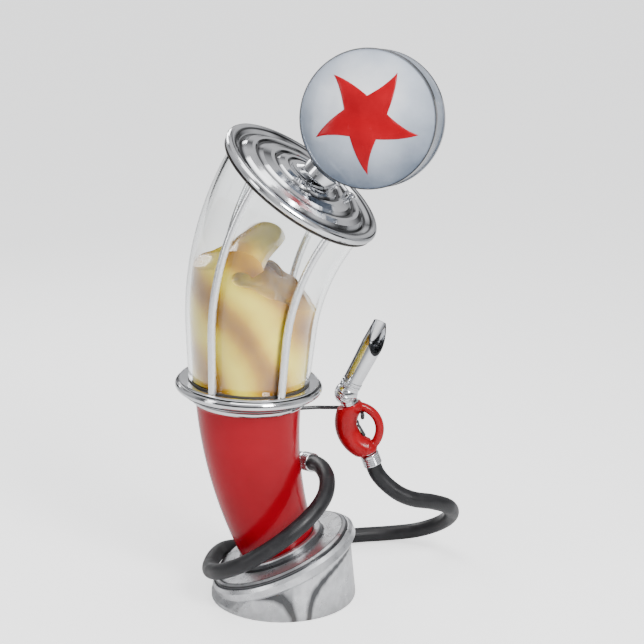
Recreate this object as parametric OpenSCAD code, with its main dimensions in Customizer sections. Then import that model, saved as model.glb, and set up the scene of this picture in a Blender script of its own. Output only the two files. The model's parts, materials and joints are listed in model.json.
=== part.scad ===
/* [Stance] */
// Lean of the foot ring to the left, in degrees
base_lean = 23; // [20:1:24]
// Lean of the collar to the right, in degrees
collar_lean = 3; // [1:1:4]
// Lean of the lid to the right, in degrees
top_lean = 35; // [32:1:37]
// Tip of the lid towards the front, in degrees
top_nod = 10; // [6:1:11]
// Bend radius of the column
column_bend = 1300; // [1280:10:1320]
// Bend radius of the glass
glass_bend = 810; // [790:10:820]
// Straight stretch between the two bends
straight_len = 180; // [170:5:190]
// Height of the foot ring's middle above the floor
ring_height = 126; // [124:1:136]

/* [Column] */
// Radius of the column at its foot
column_foot_r = 120; // [116:1:121]
// Radius of the column under the collar
column_top_r = 163; // [158:1:164]
// Wall of the column shell
column_wall = 5; // [4:1:6]
// Radius of the foot ring
foot_r = 240; // [236:1:246]

/* [Glass] */
// Radius of the glass at its foot
glass_foot_r = 186; // [182:1:187]
// Radius of the glass under the lid
glass_top_r = 238; // [230:1:240]
// Wall of the glass
glass_wall = 12; // [10:1:13]
// Radius of a tie rod
rod_r = 12; // [10:1:12]
// Radius of the collar
collar_r = 226; // [222:1:230]
// Radius of the lid
lid_r = 268; // [266:1:272]

/* [Globe] */
// Radius of the globe's band
globe_r = 200; // [190:1:204]
// Width of the globe's band
globe_w = 120; // [110:1:130]
// Rise of each lens over its rim
lens_rise = 40; // [30:1:45]
// Reach of a star point from the lens's middle
star_r = 160; // [140:1:165]

/* [Hose and nozzle] */
// Diameter of the hose
hose_d = 50; // [46:1:51]
// Radius of the nozzle's grip
grip_r = 36; // [33:1:37]
// Radius of the nozzle's guard bar
guard_r = 14; // [12:1:15]
// Radius of the spout
spout_r = 31; // [28:1:32]
// Length of the spout
spout_len = 205; // [180:5:220]

/* [Hand pump] */
// Length of the pump lever
lever_len = 226; // [200:1:230]
// Radius of the wing pump's casing
pump_r = 84; // [78:1:88]

/* [Hidden] */
$fn = 64;
deg = 180 / PI;
fit = 0.3;

// The bent centre line: an arc, a straight stretch and an arc the other way up.
lower_len = column_bend * (base_lean + collar_lean) / deg;
upper_from = lower_len + straight_len;
upper_len = glass_bend * (top_lean - collar_lean) / deg;
straight_x = -column_bend * (cos(collar_lean) - cos(base_lean));
straight_z = ring_height + column_bend * (sin(base_lean) + sin(collar_lean));
upper_x = straight_x + straight_len * sin(collar_lean);
upper_z = straight_z + straight_len * cos(collar_lean);
function lean(s) = s < lower_len ? -base_lean + s / column_bend * deg
    : s < upper_from ? collar_lean
    : collar_lean + (s - upper_from) / glass_bend * deg;
function line_x(s) = s < lower_len ? -column_bend * (cos(lean(s)) - cos(base_lean))
    : s < upper_from ? straight_x + (s - lower_len) * sin(collar_lean)
    : upper_x + glass_bend * (cos(collar_lean) - cos(lean(s)));
function line_z(s) = s < lower_len ? ring_height + column_bend * (sin(lean(s)) + sin(base_lean))
    : s < upper_from ? straight_z + (s - lower_len) * cos(collar_lean)
    : upper_z + glass_bend * (sin(lean(s)) - sin(collar_lean));
function blend_of(s, s0, s1, v0, v1) = v0 + (v1 - v0) * (s - s0) / (s1 - s0);

// Stations along the centre line.
column_s0 = 40;
glass_s0 = 600;
column_s1 = glass_s0 - 63;
glass_s1 = upper_from + upper_len;
function column_r(s) = blend_of(s, column_s0, column_s1, column_foot_r, column_top_r);
function glass_r(s) = blend_of(s, glass_s0, glass_s1, glass_foot_r, glass_top_r);
function nod(s) = s < glass_s0 ? 0 : blend_of(s, glass_s0, glass_s1, 0, top_nod);

// The three directions of the cross-section at a station: right, back and up.
function right_of(s) = [cos(lean(s)), 0, -sin(lean(s))];
function rise_of(s) = [sin(lean(s)), 0, cos(lean(s))];
function back_of(s) = [0, cos(nod(s)), 0] + sin(nod(s)) * rise_of(s);
function up_of(s) = cos(nod(s)) * rise_of(s) - [0, sin(nod(s)), 0];
function middle(s) = [line_x(s), 0, line_z(s)];
// A point beside the centre line: out to the right by a, back by b.
function beside(s, a, b) = middle(s) + a * right_of(s) + b * back_of(s);

module at(s) translate(middle(s)) rotate([0, lean(s), 0]) rotate([nod(s), 0, 0]) children();

// Rings of a tapered body whose middle lies beside the centre line.
function ring_of(s, a, b, r, sides) = [
    for (j = [0 : sides - 1]) beside(s, a + r * cos(360 * j / sides), b + r * sin(360 * j / sides))
];
function flat(lists) = [for (l = lists) for (x = l) x];
function skin(rows, sides, first, out) = flat([
    for (i = [0 : rows - 2]) for (j = [0 : sides - 1])
        let (k = (j + 1) % sides, p = first + i * sides, q = p + sides)
            out ? [[p + j, q + j, q + k], [p + j, q + k, p + k]]
                : [[p + j, q + k, q + j], [p + j, p + k, q + k]]
]);

// A solid that follows the centre line, from a list of [station, offset right, offset back, radius].
module swept(rows, sides) {
    n = len(rows);
    polyhedron(
        flat([for (w = rows) ring_of(w[0], w[1], w[2], w[3], sides)]),
        concat(
            skin(n, sides, 0, true),
            [[for (j = [0 : sides - 1]) j]],
            [[for (j = [sides - 1 : -1 : 0]) (n - 1) * sides + j]]
        )
    );
}

// A hollow one, with a wall of the same thickness all along.
module swept_shell(rows, wall, sides) {
    n = len(rows);
    m = n * sides;
    last = (n - 1) * sides;
    polyhedron(
        concat(
            flat([for (w = rows) ring_of(w[0], w[1], w[2], w[3], sides)]),
            flat([for (w = rows) ring_of(w[0], w[1], w[2], w[3] - wall, sides)])
        ),
        concat(
            skin(n, sides, 0, true),
            skin(n, sides, m, false),
            flat([for (j = [0 : sides - 1]) let (k = (j + 1) % sides)
                [[j, k, m + k], [j, m + k, m + j]]]),
            flat([for (j = [0 : sides - 1]) let (k = (j + 1) % sides)
                [[last + j, m + last + k, last + k], [last + j, m + last + j, m + last + k]]])
        )
    );
}

function stations(s0, s1, n) = [for (i = [0 : n]) s0 + (s1 - s0) * i / n];

module ring(r_in, r_out, z0, z1) {
    translate([0, 0, z0]) difference() {
        cylinder(r = r_out, h = z1 - z0);
        translate([0, 0, -1]) cylinder(r = r_in, h = z1 - z0 + 2);
    }
}

module hex_head(r, h) cylinder(r = r, h = h, $fn = 6);

// A straight bar between two points.
module bar(p, q, r) {
    d = q - p;
    translate(p) rotate([0, acos(d[2] / norm(d)), atan2(d[1], d[0])]) cylinder(r = r, h = norm(d));
}

// A smooth line through a list of points, in so many steps from each to the next.
function curve_at(a, b, c, d, t) = 0.5 * (
    2 * b + (c - a) * t + (2 * a - 5 * b + 4 * c - d) * t * t + (3 * b - a - 3 * c + d) * t * t * t
);
function point_of(points, i) = let (last = len(points) - 1)
    i < 0 ? 2 * points[0] - points[1] : i > last ? 2 * points[last] - points[last - 1] : points[i];
function curve_through(points, steps) = concat(
    [for (i = [0 : len(points) - 2]) for (k = [0 : steps - 1]) curve_at(
        point_of(points, i - 1), points[i], points[i + 1], point_of(points, i + 2), k / steps)],
    [points[len(points) - 1]]
);
function unit(v) = v / norm(v);
function heading(line, i) = unit(line[min(i + 1, len(line) - 1)] - line[max(i - 1, 0)]);
// A round rod or hose along a line.
module tube(line, r, sides) {
    n = len(line);
    polyhedron(
        [for (i = [0 : n - 1]) let (
            along = heading(line, i),
            aside = unit(cross(along, [0, 0, 1])),
            above = cross(aside, along)
        ) for (j = [0 : sides - 1])
            line[i] + (aside * cos(360 * j / sides) + above * sin(360 * j / sides)) * r],
        concat(
            skin(n, sides, 0, true),
            [[for (j = [0 : sides - 1]) j]],
            [[for (j = [sides - 1 : -1 : 0]) (n - 1) * sides + j]]
        )
    );
}

// ---- foot and column ----

bolt_circle_r = 150;
bolt_hole_r = 9;
skirt_r = 222;
hub_r = 104;
module base_casting() color([0.78, 0.79, 0.8]) difference() {
    union() {
        at(0) rotate_extrude() polygon([
            [0, -24], [foot_r - 8, -24], [foot_r, -16], [foot_r, 6], [foot_r - 8, 16],
            [foot_r - 14, 16], [foot_r - 14, 22], [foot_r - 24, 30], [152, 30], [148, 36], [148, 46],
            [144, 50], [0, 50]
        ]);
        hull() {
            at(0) translate([0, 0, -14]) cylinder(r = skirt_r, h = 2, $fn = 48);
            cylinder(r = skirt_r + 6, h = 12, $fn = 48);
        }
    }
    hull() {
        at(0) translate([0, 0, -32]) cylinder(r = skirt_r - 32, h = 2, $fn = 48);
        translate([0, 0, 16]) cylinder(r = skirt_r - 22, h = 2, $fn = 48);
    }
    at(0) translate([0, 0, -60]) cylinder(r = hub_r, h = 130);
    at(0) translate([0, 0, column_s0 - 4]) cylinder(r = column_foot_r + 2.5, h = 20);
    translate([0, 0, -1]) cylinder(r = 46, h = 30);
    for (k = [0 : 3]) rotate([0, 0, 45 + 90 * k]) translate([bolt_circle_r, 0, -1])
        cylinder(r = bolt_hole_r, h = 30);
}

module column_shell() color([0.78, 0.07, 0.08]) difference() {
    swept_shell([for (s = stations(column_s0, column_s1, 9)) [s, 0, 0, column_r(s)]], column_wall, 48);
    window_box(90, 90);
    along_back(90, 180, 17);
    at_valve() rotate([-90, 0, 0]) cylinder(r = 14, h = 140);
    outlet_line() cylinder(r = 26, h = 220);
    hook_screw_places() cylinder(r = 3.2, h = 60, center = true);
    cover_screw_places() cylinder(r = 3.2, h = 60, center = true);
}

// Window in the back of the column and the plate screwed over it.
window_s = 305;
cover_screw_turns = [67, 113];
module window_box(w, h) at(window_s) translate([-w / 2, 60, -h / 2]) cube([w, 200, h]);
module service_cover() color([0.74, 0.06, 0.07]) difference() {
    intersection() {
        swept_shell([for (s = stations(window_s - 80, window_s + 80, 4))
            [s, 0, 0, column_r(s) + 4 + fit]], 4, 48);
        window_box(132, 120);
    }
    cover_screw_places() cylinder(r = 3.2, h = 60, center = true);
}
module cover_screw_places() at(window_s) for (t = cover_screw_turns) for (j = [-1, 1])
    translate([0, 0, 52 * j]) rotate([0, 0, t]) rotate([0, 90, 0])
        translate([0, 0, column_r(window_s + 52 * j)]) children();
module cover_screws() color([0.7, 0.7, 0.7]) cover_screw_places() {
    translate([0, 0, 5.5]) cylinder(r = 6, h = 3);
    translate([0, 0, -8]) cylinder(r = 3, h = 13.6);
}

// ---- hand pump ----

pump_s = 190;
shaft_r = 9;
running = 0.05;
pump_depth = 26;
lever_y = 188;
module along_back(y0, y1, r) at(pump_s) translate([0, y0, 0]) rotate([-90, 0, 0])
    cylinder(r = r, h = y1 - y0);

module pump_casing() color([0.25, 0.27, 0.28]) difference() {
    along_back(-pump_depth - 8, pump_depth, pump_r);
    along_back(-pump_depth, pump_depth + 1, pump_r - 8);
    along_back(-pump_depth - 20, pump_depth, shaft_r + running);
    for (side = [0, 180]) at(pump_s) rotate([side, 0, 0]) translate([0, 0, pump_r - 20]) cylinder(r = 12, h = 40);
}
module pump_cover_plate() color([0.3, 0.32, 0.33]) difference() {
    union() {
        along_back(pump_depth + 0.2, 36, pump_r + 4);
        along_back(36, 52, 24);
    }
    along_back(20, 60, shaft_r + running);
}
module pump_cover_bolts() color([0.6, 0.6, 0.6]) at(pump_s) for (k = [0 : 5]) rotate([0, 60 * k + 30, 0])
    translate([pump_r - 5, 36.2, 0]) rotate([-90, 0, 0]) hex_head(7, 6);
module pump_shaft() color([0.72, 0.72, 0.7]) along_back(-pump_depth - 7, lever_y + 22, shaft_r);
module pump_wing() color([0.72, 0.55, 0.28]) at(pump_s) difference() {
    union() {
        rotate([90, 0, 0]) translate([0, 0, 1 - pump_depth]) cylinder(r = 22, h = 2 * pump_depth - 2);
        translate([10 - pump_r, 1 - pump_depth, -6]) cube([2 * (pump_r - 10), 2 * pump_depth - 2, 12]);
    }
    rotate([90, 0, 0]) translate([0, 0, -40]) cylinder(r = shaft_r, h = 80);
}
module shaft_gland() color([0.62, 0.46, 0.24]) difference() {
    union() {
        along_back(118, 150, 16.5);
        along_back(137, 150, 26);
    }
    along_back(110, 160, shaft_r + running);
}
module pump_lever() color([0.13, 0.13, 0.14]) at(pump_s) difference() {
    union() {
        translate([0, lever_y, 0]) rotate([-90, 0, 0]) cylinder(r = 24, h = 22);
        hull() {
            translate([-13, lever_y + 3, 10]) cube([26, 14, 10]);
            translate([-8, lever_y + 4, lever_len - 70]) cube([16, 12, 4]);
        }
        translate([0, lever_y + 10, lever_len - 68]) cylinder(r = 6, h = 64);
    }
    translate([0, lever_y - 10, 0]) rotate([-90, 0, 0]) cylinder(r = shaft_r, h = 60);
}
module lever_grip() color([0.35, 0.2, 0.1]) at(pump_s) translate([0, lever_y + 10, lever_len - 64])
    difference() {
        rotate_extrude() polygon([
            [0, 0], [11, 0], [13, 6], [15, 26], [13, 44], [17, 54], [16, 62], [10, 68], [0, 70]
        ]);
        translate([0, 0, -1]) cylinder(r = 6, h = 61.2);
    }
module lever_nut() color([0.7, 0.7, 0.7]) along_back(lever_y + 22.2, lever_y + 31, 14, $fn = 6);

suction_top = middle(pump_s) - (pump_r + 1) * up_of(pump_s);
module suction_pipe() color([0.45, 0.46, 0.47]) difference() {
    bar([0, 0, 0], suction_top, 18);
    bar([0, 0, 0] - 0.1 * suction_top, 1.1 * suction_top, 14);
    translate([-50, -50, -40]) cube([100, 100, 42]);
}

// ---- pipes and valve inside the column ----

collar_floor = glass_s0 - 22.5;
module delivery_pipe() color([0.45, 0.46, 0.47]) swept_shell(
    [for (s = stations(pump_s + pump_r + 1, collar_floor, 5)) [s, 0, 0, 16]], 4, 14);

drain_turn = 48;
drain_reach = 92;
drain_a = drain_reach * cos(drain_turn);
drain_b = drain_reach * sin(drain_turn);
valve_s = 440;
outlet_s = 250;
module drain_run(s0, s1) swept_shell([for (s = stations(s0, s1, 3)) [s, drain_a, drain_b, 17]], 4, 14);
module drain_pipe_upper() color([0.62, 0.46, 0.24]) drain_run(valve_s + 32, collar_floor);
module drain_pipe_lower() color([0.62, 0.46, 0.24]) drain_run(outlet_s + 25, valve_s - 32);

handle_y = 92;
module at_valve() at(valve_s) translate([drain_a, drain_b, 0]) children();
module drain_valve_body() color([0.72, 0.55, 0.28]) at_valve() difference() {
    union() {
        sphere(r = 30);
        translate([0, 0, -29.6]) cylinder(r = 23, h = 59.2);
        rotate([-90, 0, 0]) cylinder(r = 13, h = 64);
    }
    translate([0, 0, -40]) cylinder(r = 12, h = 80);
    rotate([-90, 0, 0]) translate([0, 0, -22]) cylinder(r = 18 + running, h = 40.4);
    rotate([-90, 0, 0]) cylinder(r = 7 + running, h = 80);
}
module drain_valve_plug() color([0.66, 0.66, 0.66]) at_valve() difference() {
    rotate([-90, 0, 0]) {
        translate([0, 0, -20]) cylinder(r = 18, h = 38);
        cylinder(r = 7, h = handle_y + 10);
    }
    cylinder(r = 12, h = 60, center = true);
}
module drain_handle() color([0.7, 0.7, 0.7]) at_valve() difference() {
    union() {
        translate([0, handle_y, 0]) rotate([-90, 0, 0]) cylinder(r = 15, h = 12);
        translate([-8, handle_y + 1, -92]) cube([16, 10, 86]);
        translate([0, handle_y - 1, -92]) rotate([-90, 0, 0]) cylinder(r = 12, h = 14);
    }
    rotate([-90, 0, 0]) translate([0, 0, handle_y - 5]) cylinder(r = 7, h = 15.2);
}

// ---- hose outlet ----

elbow_reach = 194;
outlet_heading = -50;
ferrule_len = 34;
// Straight out of the column along the drain's direction.
module outlet_line() at(outlet_s) rotate([0, 0, drain_turn]) rotate([0, 90, 0]) children();
module at_elbow() at(outlet_s) rotate([0, 0, drain_turn]) translate([elbow_reach, 0, 0])
    rotate([0, 0, outlet_heading - drain_turn]) rotate([0, 90, 0]) children();
module hose_outlet() color([0.72, 0.73, 0.74]) difference() {
    union() {
        outlet_line() translate([0, 0, drain_reach]) {
            sphere(r = 24.5);
            cylinder(r = 22, h = elbow_reach - drain_reach);
        }
        outlet_line() translate([0, 0, column_r(outlet_s) + 4]) cylinder(r = 32, h = 7);
        at_elbow() sphere(r = 27);
        at_elbow() cylinder(r = 23, h = 32);
        at_elbow() translate([0, 0, 25]) cylinder(r = hose_d / 2 + 5, h = 7);
    }
    outlet_line() translate([0, 0, drain_reach]) cylinder(r = 14, h = elbow_reach - drain_reach);
}
module hose_ferrule() color([0.8, 0.8, 0.8]) at_elbow()
    ring(hose_d / 2 + 1.2, hose_d / 2 + 5, 32.2, 32.2 + ferrule_len);

// ---- collar, glass, fuel and tie rods ----

seat = -4.6;
module lower_collar() color([0.82, 0.83, 0.84]) at(glass_s0) difference() {
    rotate_extrude() polygon(concat(
        [[0, seat - 16], [148, seat - 16], [148, -56], [167, -56], [167, -70], [174, -70], [177, -66],
         [180, -58], [188, -50], [200, -45], [206, -44], [206, -38], [213, -37]],
        [for (t = [-80 : 20 : 80]) [collar_r - 14 + 14 * cos(t), -22 + 14 * sin(t)]],
        [[collar_r - 11.4, -5], [collar_r - 12, -3], [collar_r - 13, -2], [collar_r - 13, seat], [0, seat]]
    ));
    cylinder(r = 12, h = 80, center = true);
    translate([drain_a, drain_b, 0]) cylinder(r = 13, h = 80, center = true);
}
module lower_gasket() color([0.1, 0.1, 0.1]) at(glass_s0)
    ring(glass_foot_r - 16, glass_foot_r, seat + 0.1, -0.2);

module glass_cylinder() color([0.85, 0.92, 0.95, 0.3])
    swept_shell([for (s = stations(glass_s0, glass_s1, 14)) [s, 0, 0, glass_r(s)]], glass_wall, 56);

gasket_h = 4;
module upper_gasket() color([0.1, 0.1, 0.1]) at(glass_s1)
    ring(glass_top_r - 16, glass_top_r + 2 * rod_r + 1, 0.2, 0.2 + gasket_h);

// Outline of the sloshing fuel, seen from the front: its crest curls over to the right.
crest = [-88, 1108];
barrel = [-82, 1068];
fuel_gap = 1;
fuel_outline = concat(
    [[330, 500], [-420, 500], [-420, 1090], [-262, 1084], [-232, 1082]],
    [for (t = [170 : -14 : 2]) crest + [70 * cos(t), 62 * sin(t)]],
    [for (t = [20 : 24 : 260]) barrel + [30 * cos(t), 25 * sin(t)]],
    [[-58, 1040], [-20, 1018], [30, 988], [64, 966], [100, 940], [330, 900]]
);
module fuel() color([0.95, 0.75, 0.25, 0.8]) intersection() {
    swept([for (s = stations(glass_s0 + 1, glass_s1 - 60, 12))
        [s, 0, 0, glass_r(s) - glass_wall - fuel_gap]], 40);
    translate([0, 300, 0]) rotate([90, 0, 0]) linear_extrude(600) polygon(fuel_outline);
}

rod_turns = [-121, -59, 59, 121];
function rod_reach(s) = glass_r(s) + rod_r + 1;
module tie_rod(turn) color([0.9, 0.9, 0.91])
    swept([for (s = stations(glass_s0, glass_s1, 12))
        [s, rod_reach(s) * cos(turn), rod_reach(s) * sin(turn), rod_r]], 12);
module rod_sockets() color([0.82, 0.83, 0.84]) at(glass_s0) for (t = rod_turns)
    rotate([0, 0, t]) translate([rod_reach(glass_s0), 0, seat + 0.1]) cylinder(r = rod_r, h = -seat - 0.3);

// ---- lid ----

lid_z = gasket_h + 0.4;
boss_z = 52;
vent_place = [146, 48];
module lid() color([0.82, 0.83, 0.84]) at(glass_s1) difference() {
    rotate_extrude() polygon(concat(
        [[0, lid_z], [lid_r - 12, lid_z]],
        [for (t = [-70 : 20 : 110]) [lid_r - 14 + 14 * cos(t), 18 + 14 * sin(t)]],
        [[240, 28], [228, 21], [222, 19], [216, 22], [206, 32], [190, 39], [180, 39], [174, 34], [168, 34],
         [154, 42], [130, 48], [118, 48], [113, 43], [107, 43], [100, 50], [86, 56], [76, 56], [72, boss_z],
         [0, boss_z]]
    ));
    translate([0, 0, -1]) cylinder(r = 26, h = 100);
    translate(concat(vent_place, [0])) cylinder(r = 8.2, h = 100);
    for (k = [-1, 1]) translate(concat(vent_place, [vent_h])) translate([flap_axis[0] - 3.3, 6.8 * k - 1.5, -14.3])
        cube([6.6, 3, 30]);
}
module lid_plug() color([0.45, 0.46, 0.47]) at(glass_s1) difference() {
    translate([0, 0, lid_z - 8]) cylinder(r = 25.8, h = 40);
    translate([0, 0, lid_z - 9]) cylinder(r = 6, h = 60);
}

vent_h = 58;
flap_axis = [-18, 2.6];
module at_vent() at(glass_s1) translate(concat(vent_place, [vent_h])) children();
module vent_tube() color([0.82, 0.83, 0.84]) at_vent() ring(4.5, 8, lid_z - vent_h, 0);
module vent_flap() color([0.82, 0.83, 0.84]) at_vent() difference() {
    union() {
        translate([0, 0, 0.4]) rotate_extrude() polygon([[0, 0], [13, 0], [13, 3], [9, 6], [0, 7]]);
        translate([flap_axis[0], -5, 0.4]) cube([12, 10, 3]);
        translate([flap_axis[0], -5, flap_axis[1]]) rotate([-90, 0, 0]) cylinder(r = 3.4, h = 10);
    }
    translate([flap_axis[0], -9, flap_axis[1]]) rotate([-90, 0, 0]) cylinder(r = 1.5 + running, h = 18);
}
module vent_hinge() color([0.7, 0.7, 0.7]) at_vent() {
    translate([flap_axis[0], -9, flap_axis[1]]) rotate([-90, 0, 0]) cylinder(r = 1.5, h = 18);
    for (k = [-1, 1]) translate([flap_axis[0] - 3, 6.8 * k - 1.2, -14]) cube([6, 2.4, 19]);
}

// ---- globe ----

globe_at = beside(glass_s1, 53, 0) + 306 * up_of(glass_s1);
globe_face = unit([-0.26, -0.954, 0.149]);
globe_lean = 43;
upward = [sin(globe_lean), 0, cos(globe_lean)];
globe_up = unit(upward - (upward * globe_face) * globe_face);
globe_right = cross(-globe_face, globe_up);
module at_globe() multmatrix([
    [globe_right[0], -globe_face[0], globe_up[0], globe_at[0]],
    [globe_right[1], -globe_face[1], globe_up[1], globe_at[1]],
    [globe_right[2], -globe_face[2], globe_up[2], globe_at[2]],
    [0, 0, 0, 1]
]) children();
module face_up(side) rotate([side > 0 ? 90 : -90, 0, 0]) children();

neck_r = 46;
neck_end = -globe_r - 24;
band_wall = 6;
module globe_band() color([0.9, 0.91, 0.93]) at_globe() difference() {
    union() {
        rotate([90, 0, 0]) cylinder(r = globe_r, h = globe_w, center = true);
        translate([0, 0, neck_end]) cylinder(r = neck_r, h = 50);
    }
    rotate([90, 0, 0]) cylinder(r = globe_r - band_wall, h = 2 * globe_w, center = true);
    translate([0, 0, neck_end - 20]) cylinder(r = neck_r - band_wall, h = 120);
}
lens_r = globe_r - 2;
dome_r = (lens_r * lens_r + lens_rise * lens_rise) / (2 * lens_rise);
lens_wall = 5;
star_wall = 2;
module dome(r_in, r_out) translate([0, 0, lens_rise - dome_r]) difference() {
    sphere(r = r_out);
    sphere(r = r_in);
}
module lens(side) color([0.93, 0.94, 0.96]) at_globe() face_up(side) translate([0, 0, globe_w / 2 + fit])
    intersection() {
        dome(dome_r - lens_wall, dome_r);
        cylinder(r = lens_r, h = lens_rise + 5);
    }
module lens_ring(side) color([0.75, 0.76, 0.78]) at_globe() face_up(side)
    ring(globe_r + fit, globe_r + 3.5, globe_w / 2 - 12, globe_w / 2 + 4);
star_outline = [for (k = [0 : 9]) (k % 2 == 0 ? star_r : 0.4 * star_r) * [sin(36 * k), cos(36 * k)]];
module star(side) color([0.8, 0.06, 0.07]) at_globe() face_up(side) translate([0, 0, globe_w / 2 + fit])
    intersection() {
        dome(dome_r + 0.2, dome_r + 0.2 + star_wall);
        linear_extrude(lens_rise + 9) polygon(star_outline);
    }

holder_r = neck_r + 10;
cup_z = neck_end - fit;
module globe_holder() color([0.82, 0.83, 0.84]) difference() {
    union() {
        at(glass_s1) translate([0, 0, boss_z + fit]) cylinder(r = holder_r + 4, h = 6);
        hull() {
            at(glass_s1) translate([0, 0, boss_z + 4]) cylinder(r = holder_r - 10, h = 3, $fn = 32);
            at_globe() translate([0, 0, cup_z - 12]) cylinder(r = holder_r - 2, h = 3, $fn = 32);
        }
        at_globe() translate([0, 0, cup_z - 12]) cylinder(r = holder_r, h = 12);
        at_globe() ring(neck_r + fit, holder_r, cup_z - 1, cup_z + 14);
    }
    at(glass_s1) translate([0, 0, boss_z - 10]) cylinder(r = 14, h = 30);
    at_globe() translate([0, 0, cup_z - 20]) cylinder(r = 14, h = 40);
    globe_screw_places() cylinder(r = 3.2, h = 60, center = true);
}
module globe_screw_places() at_globe() for (k = [0 : 2]) rotate([0, 0, 120 * k + 30])
    translate([neck_r, 0, cup_z + 7]) rotate([0, 90, 0]) children();
module globe_screws() color([0.7, 0.7, 0.7]) globe_screw_places() {
    translate([0, 0, 0.2]) cylinder(r = 3, h = 12);
    translate([0, 0, 10.4]) cylinder(r = 6, h = 8);
}
socket_h = 70;
module lamp_socket() color([0.85, 0.83, 0.78]) at_globe() translate([0, 0, cup_z + 0.2]) {
    cylinder(r = neck_r - band_wall - 1, h = 6);
    cylinder(r = 24, h = socket_h);
}
module lamp_bulb() color([0.95, 0.95, 0.9, 0.6]) at_globe() translate([0, 0, cup_z + 0.4 + socket_h]) {
    cylinder(r = 13, h = 26);
    translate([0, 0, 52]) sphere(r = 38);
}

// ---- nozzle on its hook ----

valve_ball = [198, 110, 626];
grip_lean = 20;
spout_lean = 27;
grip_mid = 122;
grip_half = 76;
grip_bulge = 38;
guard_bulge = 64;
// Nozzle frame: z runs down along the grip and x out towards its guard.
module at_grip() translate(valve_ball) rotate([0, 180 - grip_lean, 0]) rotate([0, 0, 180]) children();
function in_grip(x, y, z) = valve_ball + x * [cos(grip_lean), 0, sin(grip_lean)] + [0, y, 0]
    + z * [sin(grip_lean), 0, -cos(grip_lean)];
function bow_radius(bulge) = (grip_half * grip_half + bulge * bulge) / (2 * bulge);
grip_bow = bow_radius(grip_bulge);
guard_bow = bow_radius(guard_bulge);
module bow(radius, bulge, tube, side) translate([side * (bulge - radius), 0, grip_mid])
    rotate([90, 0, 0]) rotate([0, 0, (side > 0 ? 0 : 180) - asin(grip_half / radius)])
        rotate_extrude(angle = 2 * asin(grip_half / radius)) translate([radius, 0]) circle(r = tube);

module nozzle_grip() color([0.85, 0.08, 0.06]) at_grip() difference() {
    union() {
        bow(grip_bow, grip_bulge, grip_r, -1);
        bow(guard_bow, guard_bulge, guard_r, 1);
        translate([0, 0, grip_mid - grip_half]) sphere(r = grip_r - 1);
        translate([0, 0, grip_mid + grip_half]) sphere(r = grip_r - 4);
    }
    translate([-60, -60, grip_mid - grip_half - 60]) cube([120, 120, 52]);
    translate([-60, -60, grip_mid + grip_half + 10]) cube([120, 120, 60]);
    translate([trigger_pivot[0] - 14, -slot_half, trigger_pivot[2] - 9]) cube([40, 2 * slot_half, 66]);
    at_trigger() cylinder(r = pin_r, h = 26, center = true);
    stem_line() translate([0, 0, trigger_pivot[0] - 40]) cylinder(r = stem_r + running, h = 34);
}
module nozzle_valve_body() color([0.82, 0.83, 0.84]) {
    translate(valve_ball) sphere(r = 37);
    at_grip() translate([0, 0, 8]) cylinder(r = 28, h = grip_mid - grip_half - 16.2);
    translate(valve_ball) rotate([0, spout_lean, 0]) cylinder(r = spout_r + 2, h = 46);
}
module nozzle_spout() color([0.84, 0.85, 0.86]) translate(valve_ball) rotate([0, spout_lean, 0]) difference() {
    translate([0, 0, 46.2]) rotate_extrude() polygon([
        [spout_r - 5, 0], [spout_r, 0], [spout_r + 1, 60], [spout_r + 3, 130], [spout_r + 1, spout_len],
        [spout_r - 3, spout_len], [spout_r - 1, 130], [spout_r - 4, 60]
    ]);
    translate([0, 0, 10 + spout_len]) rotate([48, 44, 0]) translate([-160, -120, 0]) cube([320, 240, 160]);
}
swivel_z = grip_mid + grip_half + 10.2;
module hose_swivel() color([0.8, 0.8, 0.8]) at_grip() translate([0, 0, swivel_z]) {
    cylinder(r = 22, h = 8);
    translate([0, 0, 6]) cylinder(r = hose_d / 2 + 5, h = 4);
    ring(hose_d / 2 + 1.2, hose_d / 2 + 5, 8, 10 + ferrule_len);
}

pin_r = 3;
stem_r = 4;
slot_half = 8.3;
trigger_pivot = [-1, 0, 104];
stem_z = 136;
module at_trigger() translate(trigger_pivot) rotate([90, 0, 0]) children();
module nozzle_trigger() color([0.15, 0.15, 0.16]) at_grip() difference() {
    union() {
        at_trigger() cylinder(r = 7, h = 14, center = true);
        translate(trigger_pivot) rotate([0, 10, 0]) translate([-3, -6, 3]) cube([7, 12, 46]);
    }
    at_trigger() cylinder(r = pin_r + running, h = 40, center = true);
}
module trigger_pin() color([0.7, 0.7, 0.7]) at_grip() at_trigger() cylinder(r = pin_r, h = 26, center = true);
module stem_line() translate([0, 0, stem_z]) rotate([0, 90, 0]) children();
module nozzle_stem() color([0.72, 0.55, 0.28]) at_grip() stem_line() translate([0, 0, trigger_pivot[0] - 30])
    cylinder(r = stem_r, h = 31);

hook_r = 6;
hook_s = 442;
hook_turn = 48;
hook_y = 166;
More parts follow.
